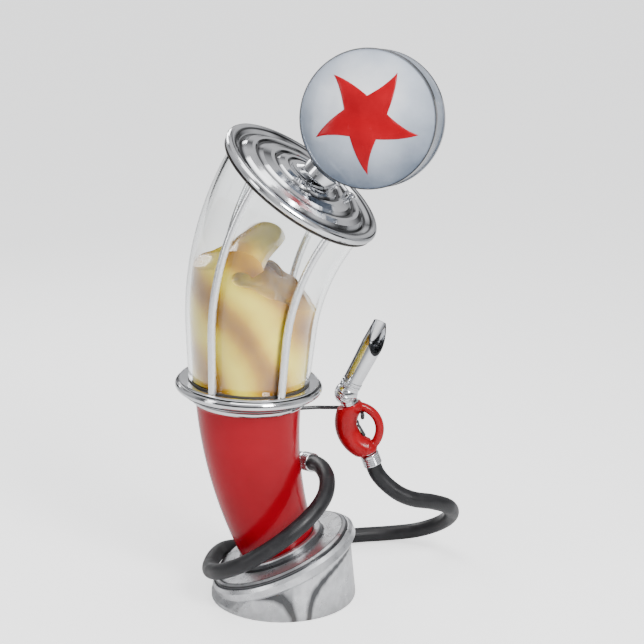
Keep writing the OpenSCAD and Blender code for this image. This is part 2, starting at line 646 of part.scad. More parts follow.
// The hook bears where the grip and the guard close in on each other.
grip_side = [grip_bow - grip_bulge, grip_bow - grip_r - hook_r - fit];
guard_side = [guard_bulge - guard_bow, guard_bow - guard_r - hook_r - fit];
hook_x = (pow(guard_side[1], 2) - pow(grip_side[1], 2) + pow(grip_side[0], 2) - pow(guard_side[0], 2))
    / (2 * (grip_side[0] - guard_side[0]));
hook_z = grip_mid - sqrt(pow(grip_side[1], 2) - pow(grip_side[0] - hook_x, 2));
hook_eye = in_grip(hook_x, 0, hook_z);
hook_outward = cos(hook_turn) * right_of(hook_s) + sin(hook_turn) * back_of(hook_s);
hook_face = middle(hook_s) + (column_r(hook_s) + 7.2) * hook_outward;
function beyond_eye(x, y, z) = [hook_eye[0] + x, y, hook_eye[2] + z];
hook_points = concat(
    [hook_face, hook_face + 12 * hook_outward, hook_face + 30 * hook_outward],
    [for (x = [-150 : 35 : -45]) beyond_eye(x, hook_y, 0)],
    [beyond_eye(-20, hook_y - 3, 0), beyond_eye(-5, hook_y - 12, 0)],
    [for (y = [140 : -22 : 74]) beyond_eye(0, y, 0)],
    [beyond_eye(0, 58, 3), beyond_eye(0, 51, 16)]
);
module hook_side() at(hook_s) rotate([0, 0, hook_turn]) rotate([0, 90, 0]) children();
module hook_screw_places() hook_side() for (k = [-1, 1]) translate([0, 20 * k, column_r(hook_s)]) children();
module hook_plate() color([0.2, 0.2, 0.21]) difference() {
    hook_side() translate([-13, -30, column_r(hook_s) + 1.5]) cube([26, 60, 5.5]);
    hook_screw_places() cylinder(r = 3.2, h = 60, center = true);
}
module nozzle_hook() color([0.2, 0.2, 0.21]) tube(curve_through(hook_points, 3), hook_r, 12);
module hook_screws() color([0.7, 0.7, 0.7]) hook_screw_places() {
    translate([0, 0, 7.2]) cylinder(r = 6, h = 3);
    translate([0, 0, -10]) cylinder(r = 3, h = 17.4);
}

// ---- hose ----

hose_points = [
    [73, 118, 396], [93, 94, 400], [112, 62, 403], [127, 22, 402], [138, -30, 391], [133, -88, 366],
    [106, -140, 337], [56, -188, 300], [-20, -218, 248], [-103, -212, 193], [-174, -166, 145],
    [-219, -89, 109], [-231, 3, 88], [-218, 93, 85], [-189, 173, 74], [-127, 241, 52], [-45, 292, 32],
    [50, 335, 26], [145, 369, 26], [245, 396, 26], [345, 408, 28], [442, 395, 45], [515, 351, 88],
    [548, 284, 146], [534, 210, 204], [478, 152, 244], [419, 122, 264], [372, 112, 286], [331, 110, 318],
    [300, 110, 354], [284, 110, 390], [273, 110, 420]
];
module hose() color([0.07, 0.07, 0.08]) tube(curve_through(hose_points, 2), hose_d / 2, 8);

base_casting();
column_shell();
service_cover();
cover_screws();
pump_casing();
pump_cover_plate();
pump_cover_bolts();
pump_shaft();
pump_wing();
shaft_gland();
pump_lever();
lever_grip();
lever_nut();
suction_pipe();
delivery_pipe();
drain_pipe_upper();
drain_valve_body();
drain_valve_plug();
drain_handle();
drain_pipe_lower();
hose_outlet();
hose_ferrule();
lower_collar();
lower_gasket();
glass_cylinder();
fuel();
upper_gasket();
tie_rod(rod_turns[0]);  // tie_rod_1
tie_rod(rod_turns[1]);  // tie_rod_2
tie_rod(rod_turns[2]);  // tie_rod_3
tie_rod(rod_turns[3]);  // tie_rod_4
rod_sockets();
lid();
lid_plug();
vent_tube();
vent_flap();
vent_hinge();
globe_holder();
globe_screws();
globe_band();
lens(1);  // lens_front
lens(-1);  // lens_back
lens_ring(1);  // lens_ring_front
lens_ring(-1);  // lens_ring_back
star(1);  // star_front
star(-1);  // star_back
lamp_socket();
lamp_bulb();
nozzle_grip();
nozzle_valve_body();
nozzle_spout();
nozzle_trigger();
trigger_pin();
nozzle_stem();
hose_swivel();
hook_plate();
nozzle_hook();
hook_screws();
hose();
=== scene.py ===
"""A bent visible petrol pump: smooth shells, liquid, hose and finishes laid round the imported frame."""

import json
import math

import bmesh
import bpy
import numpy as np
from mathutils import Matrix, Vector


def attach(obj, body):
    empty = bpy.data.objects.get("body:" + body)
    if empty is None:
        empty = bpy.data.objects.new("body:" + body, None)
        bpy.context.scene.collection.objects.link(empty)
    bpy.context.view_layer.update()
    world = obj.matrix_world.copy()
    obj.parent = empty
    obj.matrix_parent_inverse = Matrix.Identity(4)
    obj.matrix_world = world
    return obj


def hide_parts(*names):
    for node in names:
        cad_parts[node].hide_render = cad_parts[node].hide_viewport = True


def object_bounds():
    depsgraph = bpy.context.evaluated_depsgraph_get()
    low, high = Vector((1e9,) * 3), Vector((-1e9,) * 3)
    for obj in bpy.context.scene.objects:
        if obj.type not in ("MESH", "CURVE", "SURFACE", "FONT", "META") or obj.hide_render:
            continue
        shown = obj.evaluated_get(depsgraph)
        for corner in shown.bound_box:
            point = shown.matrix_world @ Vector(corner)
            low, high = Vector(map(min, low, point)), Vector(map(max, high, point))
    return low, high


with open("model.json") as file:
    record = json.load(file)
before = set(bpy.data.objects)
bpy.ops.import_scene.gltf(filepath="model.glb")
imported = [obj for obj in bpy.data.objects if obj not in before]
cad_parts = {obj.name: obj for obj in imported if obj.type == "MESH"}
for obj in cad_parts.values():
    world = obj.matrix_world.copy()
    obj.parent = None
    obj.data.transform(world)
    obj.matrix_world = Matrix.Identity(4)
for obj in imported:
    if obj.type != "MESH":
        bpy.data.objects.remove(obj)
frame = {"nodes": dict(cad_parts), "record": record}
cad_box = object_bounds()

# ---------------------------------------------------------------- driving sizes, in metres and degrees

BASE_LEAN, COLLAR_LEAN, TOP_LEAN, TOP_NOD = 23, 3, 35, 10
COLUMN_BEND, GLASS_BEND = 1.300, 0.810
STRAIGHT, RING_HEIGHT = 0.180, 0.126
COLUMN_FOOT_R, COLUMN_TOP_R, COLUMN_WALL = 0.120, 0.163, 0.005
GLASS_FOOT_R, GLASS_TOP_R, GLASS_WALL = 0.186, 0.238, 0.012
ROD_R = 0.012
FOOT_R = 0.240
GLOBE_R, GLOBE_W, LENS_RISE, STAR_R = 0.200, 0.120, 0.040, 0.160
HOSE_R = 0.025
SPOUT_R = 0.031
PUMP_R = 0.084

LOWER_LEN = COLUMN_BEND * math.radians(BASE_LEAN + COLLAR_LEAN)
UPPER_FROM = LOWER_LEN + STRAIGHT
GLASS_S0 = 0.600
GLASS_S1 = UPPER_FROM + GLASS_BEND * math.radians(TOP_LEAN - COLLAR_LEAN)
COLUMN_S0 = 0.040
COLUMN_S1 = GLASS_S0 - 0.063
PUMP_S, OUTLET_S, WINDOW_S, HOOK_S = 0.190, 0.250, 0.305, 0.442


def sin_of(angle):
    return math.sin(math.radians(angle))


def cos_of(angle):
    return math.cos(math.radians(angle))


# ---------------------------------------------------------------- the bent centre line


def lean(s):
    """Lean of the pump at a station along its centre line, in degrees."""
    if s < LOWER_LEN:
        return -BASE_LEAN + math.degrees(s / COLUMN_BEND)
    if s < UPPER_FROM:
        return COLLAR_LEAN
    return COLLAR_LEAN + math.degrees((s - UPPER_FROM) / GLASS_BEND)


def nod(s):
    """Tip of the pump towards the front at a station, in degrees."""
    return 0.0 if s < GLASS_S0 else TOP_NOD * (s - GLASS_S0) / (GLASS_S1 - GLASS_S0)


def middle(s):
    """The centre line's point at a station."""
    a = lean(s)
    if s < LOWER_LEN:
        x = -COLUMN_BEND * (cos_of(a) - cos_of(BASE_LEAN))
        return Vector((x, 0, RING_HEIGHT + COLUMN_BEND * (sin_of(a) + sin_of(BASE_LEAN))))
    x = -COLUMN_BEND * (cos_of(COLLAR_LEAN) - cos_of(BASE_LEAN))
    z = RING_HEIGHT + COLUMN_BEND * (sin_of(BASE_LEAN) + sin_of(COLLAR_LEAN))
    along = min(s - LOWER_LEN, STRAIGHT)
    x += along * sin_of(COLLAR_LEAN)
    z += along * cos_of(COLLAR_LEAN)
    if s > UPPER_FROM:
        x += GLASS_BEND * (cos_of(COLLAR_LEAN) - cos_of(a))
        z += GLASS_BEND * (sin_of(a) - sin_of(COLLAR_LEAN))
    return Vector((x, 0, z))


def place_at(s):
    """The frame of the cross-section at a station: right, back and up as its columns."""
    right = Vector((cos_of(lean(s)), 0, -sin_of(lean(s))))
    rise = Vector((sin_of(lean(s)), 0, cos_of(lean(s))))
    back = Vector((0, cos_of(nod(s)), 0)) + sin_of(nod(s)) * rise
    up = cos_of(nod(s)) * rise - Vector((0, sin_of(nod(s)), 0))
    return frame_of(right, back, up, middle(s))


def frame_of(x, y, z, origin):
    """The matrix of a frame from its three directions and its origin."""
    m = Matrix((x, y, z)).transposed().to_4x4()
    m.translation = origin
    return m


def between(s, s0, s1, v0, v1):
    return v0 + (v1 - v0) * (s - s0) / (s1 - s0)


def column_r(s):
    return between(s, COLUMN_S0, COLUMN_S1, COLUMN_FOOT_R, COLUMN_TOP_R)


def glass_r(s):
    return between(s, GLASS_S0, GLASS_S1, GLASS_FOOT_R, GLASS_TOP_R)


def turned_out(s, turn):
    """The outward direction from the centre line at a station, turned from right towards the back."""
    m = place_at(s).to_3x3()
    return m @ Vector((cos_of(turn), sin_of(turn), 0))


# The globe's own frame: x right across its face, y into it, z up.
GLOBE_LEAN = 43
NECK_R = 0.046
CUP_Z = -GLOBE_R - 0.0243
face_out = Vector((-0.26, -0.954, 0.149)).normalized()
upward = Vector((sin_of(GLOBE_LEAN), 0, cos_of(GLOBE_LEAN)))
globe_up = (upward - upward.dot(face_out) * face_out).normalized()
globe_right = (-face_out).cross(globe_up)
lid_place = place_at(GLASS_S1)
AT_GLOBE = frame_of(globe_right, -face_out, globe_up, lid_place @ Vector((0.053, 0, 0.306)))

# The nozzle's own frame: z runs down the grip, x out to its guard.
VALVE_BALL = Vector((0.198, 0.110, 0.626))
GRIP_LEAN, SPOUT_LEAN = 20, 27
AT_GRIP = frame_of(
    Vector((cos_of(GRIP_LEAN), 0, sin_of(GRIP_LEAN))),
    Vector((0, -1, 0)),
    Vector((sin_of(GRIP_LEAN), 0, -cos_of(GRIP_LEAN))),
    VALVE_BALL,
)
AT_SPOUT = Matrix.Translation(VALVE_BALL) @ Matrix.Rotation(math.radians(SPOUT_LEAN), 4, "Y")


# ---------------------------------------------------------------- making meshes


def piece(name, points, faces, material, body="stand", soft_angle=35, uv=None):
    """A closed piece from points and faces, smooth but for its sharp edges, with its own map if given."""
    mesh = bpy.data.meshes.new(name)
    mesh.from_pydata([tuple(p) for p in points], [], faces)
    if uv is not None:
        layer = mesh.uv_layers.new(name="along")
        for loop in mesh.loops:
            layer.data[loop.index].uv = uv[loop.vertex_index]
    return finished(name, mesh, material, body, soft_angle)


def finished(name, mesh, material, body="stand", soft_angle=35):
    """A mesh made into a clean piece that rides on a body."""
    bm = bmesh.new()
    bm.from_mesh(mesh)
    bmesh.ops.remove_doubles(bm, verts=bm.verts, dist=1e-6)
    bmesh.ops.dissolve_degenerate(bm, edges=bm.edges, dist=1e-7)
    bmesh.ops.recalc_face_normals(bm, faces=bm.faces)
    bm.to_mesh(mesh)
    bm.free()
    mesh.polygons.foreach_set("use_smooth", [True] * len(mesh.polygons))
    mesh.set_sharp_from_angle(angle=math.radians(soft_angle))
    mesh.materials.clear()
    mesh.materials.append(material)
    obj = bpy.data.objects.new(name, mesh)
    bpy.context.scene.collection.objects.link(obj)
    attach(obj, body)
    return obj


def worked_out(obj):
    """The mesh of an object with its modifiers applied."""
    return bpy.data.meshes.new_from_object(obj.evaluated_get(bpy.context.evaluated_depsgraph_get()))


def grid_faces(rows, columns, rows_close):
    """Quads of a grid whose columns close on themselves, and whose rows may."""
    faces = []
    for i in range(rows if rows_close else rows - 1):
        for j in range(columns):
            k, n = (j + 1) % columns, (i + 1) % rows
            faces.append((i * columns + j, i * columns + k, n * columns + k, n * columns + j))
    return faces


def revolved(section, place, sides=96, closes=False):
    """Points and faces of a section of (radius, height) turned about the z axis of a place."""
    points = []
    for r, z in section:
        for j in range(sides):
            t = 2 * math.pi * j / sides
            points.append(place @ Vector((r * math.cos(t), r * math.sin(t), z)))
    return points, grid_faces(len(section), sides, closes)


def joined(parts):
    """The points and faces of several parts put together."""
    points, faces = [], []
    for some_points, some_faces in parts:
        first = len(points)
        points += some_points
        faces += [tuple(first + i for i in f) for f in some_faces]
    return points, faces


def rings_along(rings, caps=True):
    """Points and faces of a body given as a list of rings."""
    sides = len(rings[0])
    points = [p for ring in rings for p in ring]
    faces = grid_faces(len(rings), sides, not caps)
    if caps:
        faces.append(tuple(range(sides)))
        last = (len(rings) - 1) * sides
        faces.append(tuple(last + j for j in range(sides)))
    return points, faces


def ring_beside(s, out, back, radius, sides):
    """A ring in the cross-section at a station, about a point beside the centre line."""
    m = place_at(s)
    ring = []
    for j in range(sides):
        t = 2 * math.pi * j / sides
        ring.append(m @ Vector((out + radius * math.cos(t), back + radius * math.sin(t), 0)))
    return ring


def swept(rows, sides):
    """A solid that follows the centre line, from (station, offset right, offset back, radius)."""
    return rings_along([ring_beside(*row, sides) for row in rows])


def swept_wall(section, sides):
    """A hollow body: its wall's section is a closed list of (station, radius)."""
    return rings_along([ring_beside(s, 0, 0, r, sides) for s, r in section], caps=False)


def smooth_line(points, steps):
    """A smooth line through a list of points, in so many steps from each to the next."""
    p = [Vector(q) for q in points]
    p = [2 * p[0] - p[1]] + p + [2 * p[-1] - p[-2]]
    line = []
    for a, b, c, d in zip(p, p[1:], p[2:], p[3:]):
        for k in range(steps):
            t = k / steps
            line.append(0.5 * (2 * b + (c - a) * t + (2 * a - 5 * b + 4 * c - d) * t**2
                               + (3 * b - a - 3 * c + d) * t**3))
    return line + [p[-2]]


def tube(line, radius, sides):
    """Points, faces and a map of (turn, length) of a round tube along a line, without twist."""
    rings, spots, run = [], [], 0.0
    aside = None
    for i, point in enumerate(line):
        along = (line[min(i + 1, len(line) - 1)] - line[max(i - 1, 0)]).normalized()
        if aside is None:
            aside = along.cross(Vector((0, 0, 1))).normalized()
        aside = (aside - aside.dot(along) * along).normalized()
        above = aside.cross(along)
        run += (point - line[i - 1]).length if i else 0.0
        ring = []
        for j in range(sides):
            t = 2 * math.pi * j / sides
            ring.append(point + radius * (math.cos(t) * aside + math.sin(t) * above))
            spots.append((j / sides, run))
        rings.append(ring)
    points, faces = rings_along(rings)
    return points, faces, spots


# ---------------------------------------------------------------- finishes


class Wiring:
    """The nodes and links of one tree, with short ways to add to them."""

    def __init__(self, tree):
        self.nodes, self.links = tree.nodes, tree.links

    def ranged(self, value, low, high, to_low, to_high):
        node = self.nodes.new("ShaderNodeMapRange")
        for socket, number in zip(("From Min", "From Max", "To Min", "To Max"), (low, high, to_low, to_high)):
            node.inputs[socket].default_value = number
        self.links.new(value, node.inputs["Value"])
        return node.outputs["Result"]

    def maths(self, operation, a, b):
        node = self.nodes.new("ShaderNodeMath")
        node.operation = operation
        for socket, value in zip(node.inputs, (a, b)):
            if isinstance(value, (int, float)):
                socket.default_value = value
            else:
                self.links.new(value, socket)
        return node.outputs["Value"]

    def colours(self, value, stops):
        node = self.nodes.new("ShaderNodeValToRGB")
        ramp = node.color_ramp
        while len(ramp.elements) < len(stops):
            ramp.elements.new(1.0)
        for element, (place, colour) in zip(ramp.elements, stops):
            element.position = place
            element.color = (*colour, 1)
        self.links.new(value, node.inputs["Fac"])
        return node.outputs["Color"]

    def mixed(self, share, first, second):
        node = self.nodes.new("ShaderNodeMix")
        node.data_type = "RGBA"
        self.links.new(share, node.inputs[0])
        for socket, value in ((node.inputs[6], first), (node.inputs[7], second)):
            if isinstance(value, tuple):
                socket.default_value = (*value, 1)
            else:
                self.links.new(value, socket)
        return node.outputs[2]


class Finish(Wiring):
    """A material under construction: its shader and the nodes that feed it."""

    def __init__(self, name, **values):
        self.material = bpy.data.materials.new(name)
        self.material.use_nodes = True
        super().__init__(self.material.node_tree)
        self.shader = self.nodes["Principled BSDF"]
        for socket, value in values.items():
            self.shader.inputs[socket.replace("_", " ")].default_value = value
        self.where = self.nodes.new("ShaderNodeTexCoord").outputs["Object"]

    def mapped(self, scale=(1, 1, 1), turn=(0, 0, 0), source=None):
        node = self.nodes.new("ShaderNodeMapping")
        node.inputs["Scale"].default_value = scale
        node.inputs["Rotation"].default_value = turn
        self.links.new(source or self.where, node.inputs["Vector"])
        return node.outputs["Vector"]

    def noise(self, scale, detail=4, rough=0.55, at=None):
        node = self.nodes.new("ShaderNodeTexNoise")
        node.inputs["Scale"].default_value = scale
        node.inputs["Detail"].default_value = detail
        node.inputs["Roughness"].default_value = rough
        self.links.new(at or self.where, node.inputs["Vector"])
        return node.outputs["Fac"]

    def wave(self, scale, distortion, at=None, kind="BANDS", axis="X"):
        node = self.nodes.new("ShaderNodeTexWave")
        node.wave_type = kind
        if kind == "BANDS":
            node.bands_direction = axis
        node.inputs["Scale"].default_value = scale
        node.inputs["Distortion"].default_value = distortion
        self.links.new(at or self.where, node.inputs["Vector"])
        return node.outputs["Fac"]

    def cells(self, scale):
        node = self.nodes.new("ShaderNodeTexVoronoi")
        node.inputs["Scale"].default_value = scale
        self.links.new(self.where, node.inputs["Vector"])
        return node.outputs["Distance"]

    def local(self, place):
        """The three coordinates in the frame of a place."""
        node = self.nodes.new("ShaderNodeMapping")
        node.vector_type = "TEXTURE"
        node.inputs["Location"].default_value = place.translation
        node.inputs["Rotation"].default_value = place.to_euler()
        self.links.new(self.where, node.inputs["Vector"])
        split = self.nodes.new("ShaderNodeSeparateXYZ")
        self.links.new(node.outputs["Vector"], split.inputs["Vector"])
        return split.outputs["X"], split.outputs["Y"], split.outputs["Z"]

    def reach(self, a, b):
        """Distance from an axis, given the two coordinates across it."""
        squares = self.maths("ADD", self.maths("MULTIPLY", a, a), self.maths("MULTIPLY", b, b))
        return self.maths("SQRT", squares, 0)

    def painted_shade_bands(self, value, largest, bands):
        """The share of painted shade: 0 in the open, and up to the largest share in each (centre, half width)
        band of a value.
        """
        darkest = None
        for centre, half in bands:
            away = self.maths("ABSOLUTE", self.maths("SUBTRACT", value, centre), 0)
            share = self.ranged(away, 0.35 * half, half, largest, 0.0)
            darkest = share if darkest is None else self.maths("MAXIMUM", darkest, share)
        return darkest

    def height(self):
        node = self.nodes.new("ShaderNodeSeparateXYZ")
        self.links.new(self.where, node.inputs["Vector"])
        return node.outputs["Z"]

    def colour(self, source):
        self.links.new(source, self.shader.inputs["Base Color"])

    def roughness(self, value, low, high):
        self.links.new(self.ranged(value, 0.3, 0.7, low, high), self.shader.inputs["Roughness"])

    def relief(self, height, strength, depth):
        node = self.nodes.new("ShaderNodeBump")
        node.inputs["Strength"].default_value = strength
        node.inputs["Distance"].default_value = depth
        self.links.new(height, node.inputs["Height"])
        self.links.new(node.outputs["Normal"], self.shader.inputs["Normal"])


# Near-black colour painted into grooves and ridge rings as painted shade and painted dark reflection.
PAINTED_GROOVE_SHADE = (0.020, 0.021, 0.024)


def chrome_plate(name="chrome_plate", place=None, rings=(), steps=()):
    """Polished plate. A turned part's grooves, rings about its axis or steps along it, get near-black painted
    shade and painted dark reflection.
    """
    f = Finish(name, Metallic=1.0)
    plate = f.colours(f.noise(9, 6), ((0.30, (0.62, 0.63, 0.65)), (0.70, (0.82, 0.83, 0.85))))
    if place:
        x, y, z = f.local(place)
        # Painted shade and dark reflection in the grooves, placed by distance from the axis or by height
        # along it.
        grooves = f.painted_shade_bands(f.reach(x, y), 0.96, rings) if rings else f.painted_shade_bands(z, 0.96, steps)
        plate = f.mixed(grooves, plate, PAINTED_GROOVE_SHADE)
    f.colour(plate)
    f.roughness(f.noise(34, 5), 0.07, 0.17)
    f.relief(f.noise(7, 2), 0.10, 0.002)
    return f.material


def silver_casting():
    f = Finish("silver_casting", Metallic=0.85, Coat_Weight=0.25, Coat_Roughness=0.2)
    # Darker towards the bottom, in patches, over the lowest 7 cm.
    low_darkening = f.ranged(f.height(), 0.0, 0.07, 0.75, 0.0)
    silver = f.colours(f.noise(26, 6), ((0.25, (0.50, 0.51, 0.53)), (0.75, (0.76, 0.77, 0.79))))
    x, y, _ = f.local(place_at(0))
    # Dark rings at the casting's ridges and steps are painted shade.
    rings = ((FOOT_R - 0.015, 0.0035), (FOOT_R - 0.026, 0.003), (0.150, 0.005), (0.125, 0.005))
    ring_shaded = f.mixed(f.painted_shade_bands(f.reach(x, y), 0.9, rings), silver, PAINTED_GROOVE_SHADE)
    f.colour(f.mixed(f.maths("MULTIPLY", low_darkening, f.noise(40, 6)), ring_shaded, (0.12, 0.11, 0.10)))
    f.roughness(f.noise(30, 5), 0.24, 0.36)
    f.relief(f.noise(160, 3), 0.10, 0.0006)
    return f.material


def red_enamel():
    f = Finish("red_enamel", Coat_Weight=0.10, Coat_Roughness=0.05, Specular_IOR_Level=0.15)
    drift = f.noise(3.5, 4)
    base = f.colours(drift, ((0.25, (0.25, 0.000, 0.006)), (0.75, (0.38, 0.001, 0.012))))
    # Darker towards the column's foot, in patches: none above 30 cm, most below 14 cm.
    foot_darkening = f.ranged(f.height(), 0.14, 0.30, 0.55, 0.0)
    f.colour(f.mixed(f.maths("MULTIPLY", foot_darkening, f.noise(18, 6)), base, (0.06, 0.000, 0.002)))
    f.roughness(f.noise(30, 5), 0.14, 0.26)
    f.relief(f.noise(160, 2), 0.06, 0.0006)
    return f.material


def moulded_red():
    f = Finish("moulded_red", Coat_Weight=0.25, Coat_Roughness=0.12, Specular_IOR_Level=0.15)
    f.colour(f.colours(f.noise(14, 5), ((0.3, (0.27, 0.000, 0.004)), (0.72, (0.40, 0.002, 0.009)))))
    f.roughness(f.noise(60, 5), 0.20, 0.36)
    f.relief(f.noise(520, 3), 0.18, 0.0005)
    return f.material


def fired_star():
    f = Finish("fired_star", Coat_Weight=0.10, Coat_Roughness=0.06, Specular_IOR_Level=0.12)
    f.colour(f.colours(f.noise(11, 4), ((0.3, (0.30, 0.001, 0.007)), (0.7, (0.44, 0.003, 0.012)))))
    f.roughness(f.noise(42, 4), 0.16, 0.28)
    f.relief(f.noise(190, 3), 0.08, 0.0005)
    return f.material


def clear_glass():
    f = Finish("clear_glass", Transmission_Weight=1.0, IOR=1.45, Base_Color=(0.975, 0.99, 0.99, 1))
    f.roughness(f.noise(5, 4), 0.0, 0.02)
    f.relief(f.noise(6, 2), 0.10, 0.002)
    through = f.nodes.new("ShaderNodeBsdfTransparent")
    through.inputs["Color"].default_value = (0.96, 0.98, 0.98, 1)
    rays = f.nodes.new("ShaderNodeLightPath")
    mix = f.nodes.new("ShaderNodeMixShader")
    f.links.new(rays.outputs["Is Shadow Ray"], mix.inputs[0])
    f.links.new(f.shader.outputs[0], mix.inputs[1])
    f.links.new(through.outputs[0], mix.inputs[2])
    f.links.new(mix.outputs[0], f.nodes["Material Output"].inputs["Surface"])
    return f.material


def amber_fuel():
    f = Finish("amber_fuel", IOR=1.36, Specular_IOR_Level=0.25, Coat_Weight=0.15, Coat_Roughness=0.03)
    streaks = f.wave(2.1, 5.0, f.mapped((1.0, 0.4, 1.0), (0, math.radians(38), 0)))
    clouds = f.noise(7, 5)
    blend = f.maths("ADD", f.maths("MULTIPLY", streaks, 0.45), f.maths("MULTIPLY", clouds, 0.55))
    f.colour(f.colours(blend, (
        (0.22, (0.20, 0.075, 0.002)), (0.42, (0.44, 0.225, 0.004)),
        (0.58, (0.64, 0.430, 0.010)), (0.80, (0.82, 0.670, 0.060)),
    )))
    f.roughness(clouds, 0.05, 0.16)
    f.relief(f.noise(22, 3), 0.22, 0.004)
    return f.material


def opal_glass_painted_shade():
    """White opal with painted light: a painted highlight a little off the middle of each face, fading to
    painted slate-grey shade towards the rim.
    """
    f = Finish("opal_glass_painted_shade", Coat_Weight=0.35, Coat_Roughness=0.05, Specular_IOR_Level=0.3)
    x, _, z = f.local(AT_GLOBE)
    # Distance from the painted highlight, centred a little left of and above the middle of the face; the ramp
    # turns it into painted shade towards the rim.
    from_painted_highlight = f.reach(f.maths("ADD", x, 0.035), f.maths("SUBTRACT", z, 0.045))
    painted_shade_reach = f.maths("ADD", from_painted_highlight, f.ranged(f.noise(6, 5), 0.3, 0.7, -0.030, 0.030))
    f.colour(f.colours(f.ranged(painted_shade_reach, 0.0, 0.27, 0.0, 1.0), (
        (0.16, (0.82, 0.84, 0.87)), (0.50, (0.46, 0.51, 0.59)), (0.92, (0.12, 0.15, 0.20)),
    )))
    f.roughness(f.noise(26, 4), 0.14, 0.28)
    f.relief(f.noise(28, 3), 0.08, 0.001)
    return f.material


def frosted_bulb():
    f = Finish("frosted_bulb", Transmission_Weight=0.6, Base_Color=(0.98, 0.96, 0.9, 1))
    f.roughness(f.noise(120, 3), 0.35, 0.55)
    f.relief(f.noise(900, 2), 0.1, 0.0003)
    return f.material


def glazed_porcelain():
    f = Finish("glazed_porcelain", Coat_Weight=0.8, Coat_Roughness=0.05)
    f.colour(f.colours(f.noise(50, 4), ((0.3, (0.74, 0.72, 0.66)), (0.7, (0.86, 0.84, 0.79)))))
    f.roughness(f.noise(60, 4), 0.2, 0.35)
    return f.material


def satin_rod():
    f = Finish("satin_rod", Metallic=0.9)
    grain = f.noise(60, 4, at=f.mapped((6, 6, 0.6)))
    f.colour(f.colours(grain, ((0.3, (0.78, 0.79, 0.81)), (0.7, (0.93, 0.94, 0.95)))))
    f.roughness(grain, 0.20, 0.36)
    f.relief(grain, 0.1, 0.0004)
    return f.material


def zinc_steel():
    f = Finish("zinc_steel", Metallic=1.0)
    f.colour(f.colours(f.cells(260), ((0.1, (0.50, 0.51, 0.54)), (0.8, (0.72, 0.73, 0.74)))))
    f.roughness(f.noise(150, 4), 0.22, 0.42)
    f.relief(f.noise(600, 3), 0.12, 0.0003)
    return f.material


def black_iron():
    f = Finish("black_iron", Metallic=0.15, Coat_Weight=0.35, Coat_Roughness=0.25)
    chips = f.ranged(f.noise(34, 8, 0.7), 0.66, 0.72, 0.0, 1.0)
    black = f.colours(f.noise(20, 5), ((0.3, (0.014, 0.014, 0.016)), (0.7, (0.034, 0.034, 0.038))))
    f.colour(f.mixed(chips, black, (0.13, 0.08, 0.055)))
    f.roughness(f.noise(70, 5), 0.35, 0.55)
    f.relief(f.noise(300, 4), 0.35, 0.0006)
    return f.material


def galvanised_pipe():
    f = Finish("galvanised_pipe", Metallic=0.95)
    f.colour(f.colours(f.cells(75), ((0.05, (0.32, 0.33, 0.35)), (0.75, (0.52, 0.53, 0.55)))))
    f.roughness(f.noise(90, 4), 0.35, 0.5)
    f.relief(f.noise(240, 4), 0.2, 0.0005)
    return f.material


def cast_brass():
    f = Finish("cast_brass", Metallic=1.0)
    tarnish = f.noise(24, 6)
    f.colour(f.colours(tarnish, (
        (0.3, (0.36, 0.23, 0.09)), (0.55, (0.66, 0.47, 0.19)), (0.8, (0.80, 0.62, 0.30)),
    )))
    f.roughness(tarnish, 0.25, 0.45)
    f.relief(f.noise(320, 4), 0.25, 0.0005)
    return f.material


def varnished_wood():
    f = Finish("varnished_wood", Coat_Weight=0.7, Coat_Roughness=0.1)
    grain = f.wave(22, 7, f.mapped((1, 1, 0.12), (0, math.radians(-15), 0)), kind="RINGS")
    f.colour(f.colours(grain, (
        (0.1, (0.12, 0.045, 0.016)), (0.6, (0.27, 0.12, 0.048)), (0.95, (0.38, 0.19, 0.08)),
    )))
    f.roughness(grain, 0.28, 0.42)
    f.relief(f.noise(260, 5, at=f.mapped((1, 1, 0.1))), 0.2, 0.0004)
    return f.material


def cork_gasket():
    f = Finish("cork_gasket")
    f.colour(f.colours(f.cells(420), ((0.1, (0.018, 0.016, 0.014)), (0.8, (0.060, 0.052, 0.044)))))
    f.roughness(f.noise(200, 3), 0.65, 0.85)
    f.relief(f.cells(420), 0.4, 0.0005)
    return f.material


def hose_rubber():
    f = Finish("hose_rubber", Specular_IOR_Level=0.40)
    spot = f.nodes.new("ShaderNodeUVMap")
    spot.uv_map = "along"
    wrap = f.wave(1.0, 0.0, f.mapped((3, 95, 1), source=spot.outputs["UV"]), axis="DIAGONAL")
    dust = f.noise(26, 6)
    f.colour(f.colours(dust, (
        (0.30, (0.006, 0.006, 0.007)), (0.62, (0.012, 0.012, 0.014)), (0.82, (0.034, 0.033, 0.032)),
    )))
    f.roughness(dust, 0.30, 0.52)
    cloth = f.maths("ADD", f.maths("MULTIPLY", wrap, 0.7), f.maths("MULTIPLY", f.noise(380, 3), 0.3))
    f.relief(cloth, 0.35, 0.0006)
    return f.material


FINISHES = {
    "chrome": chrome_plate(), "casting": silver_casting(), "red_enamel": red_enamel(),
    "red_grip": moulded_red(), "star_red": fired_star(), "clear_glass": clear_glass(),
    "fuel": amber_fuel(), "milk_glass": opal_glass_painted_shade(), "bulb_glass": frosted_bulb(),
    "porcelain": glazed_porcelain(), "rod_steel": satin_rod(), "bright_steel": zinc_steel(),
    "dark_iron": black_iron(), "pipe_steel": galvanised_pipe(), "brass": cast_brass(),
    "wood": varnished_wood(), "gasket": cork_gasket(), "hose_rubber": hose_rubber(),
}


LID_GROOVES = ((0.2415, 0.0050), (0.220, 0.0085), (0.171, 0.0095), (0.110, 0.0095), (0.0715, 0.0065))
COLLAR_GROOVES = ((-0.0405, 0.0055), (-0.0560, 0.0040), (-0.0090, 0.0025))
BY_NODE = {
    "lid": chrome_plate("lid_plate", lid_place, rings=LID_GROOVES),
    "lower_collar": chrome_plate("collar_plate", place_at(GLASS_S0), steps=COLLAR_GROOVES),
}


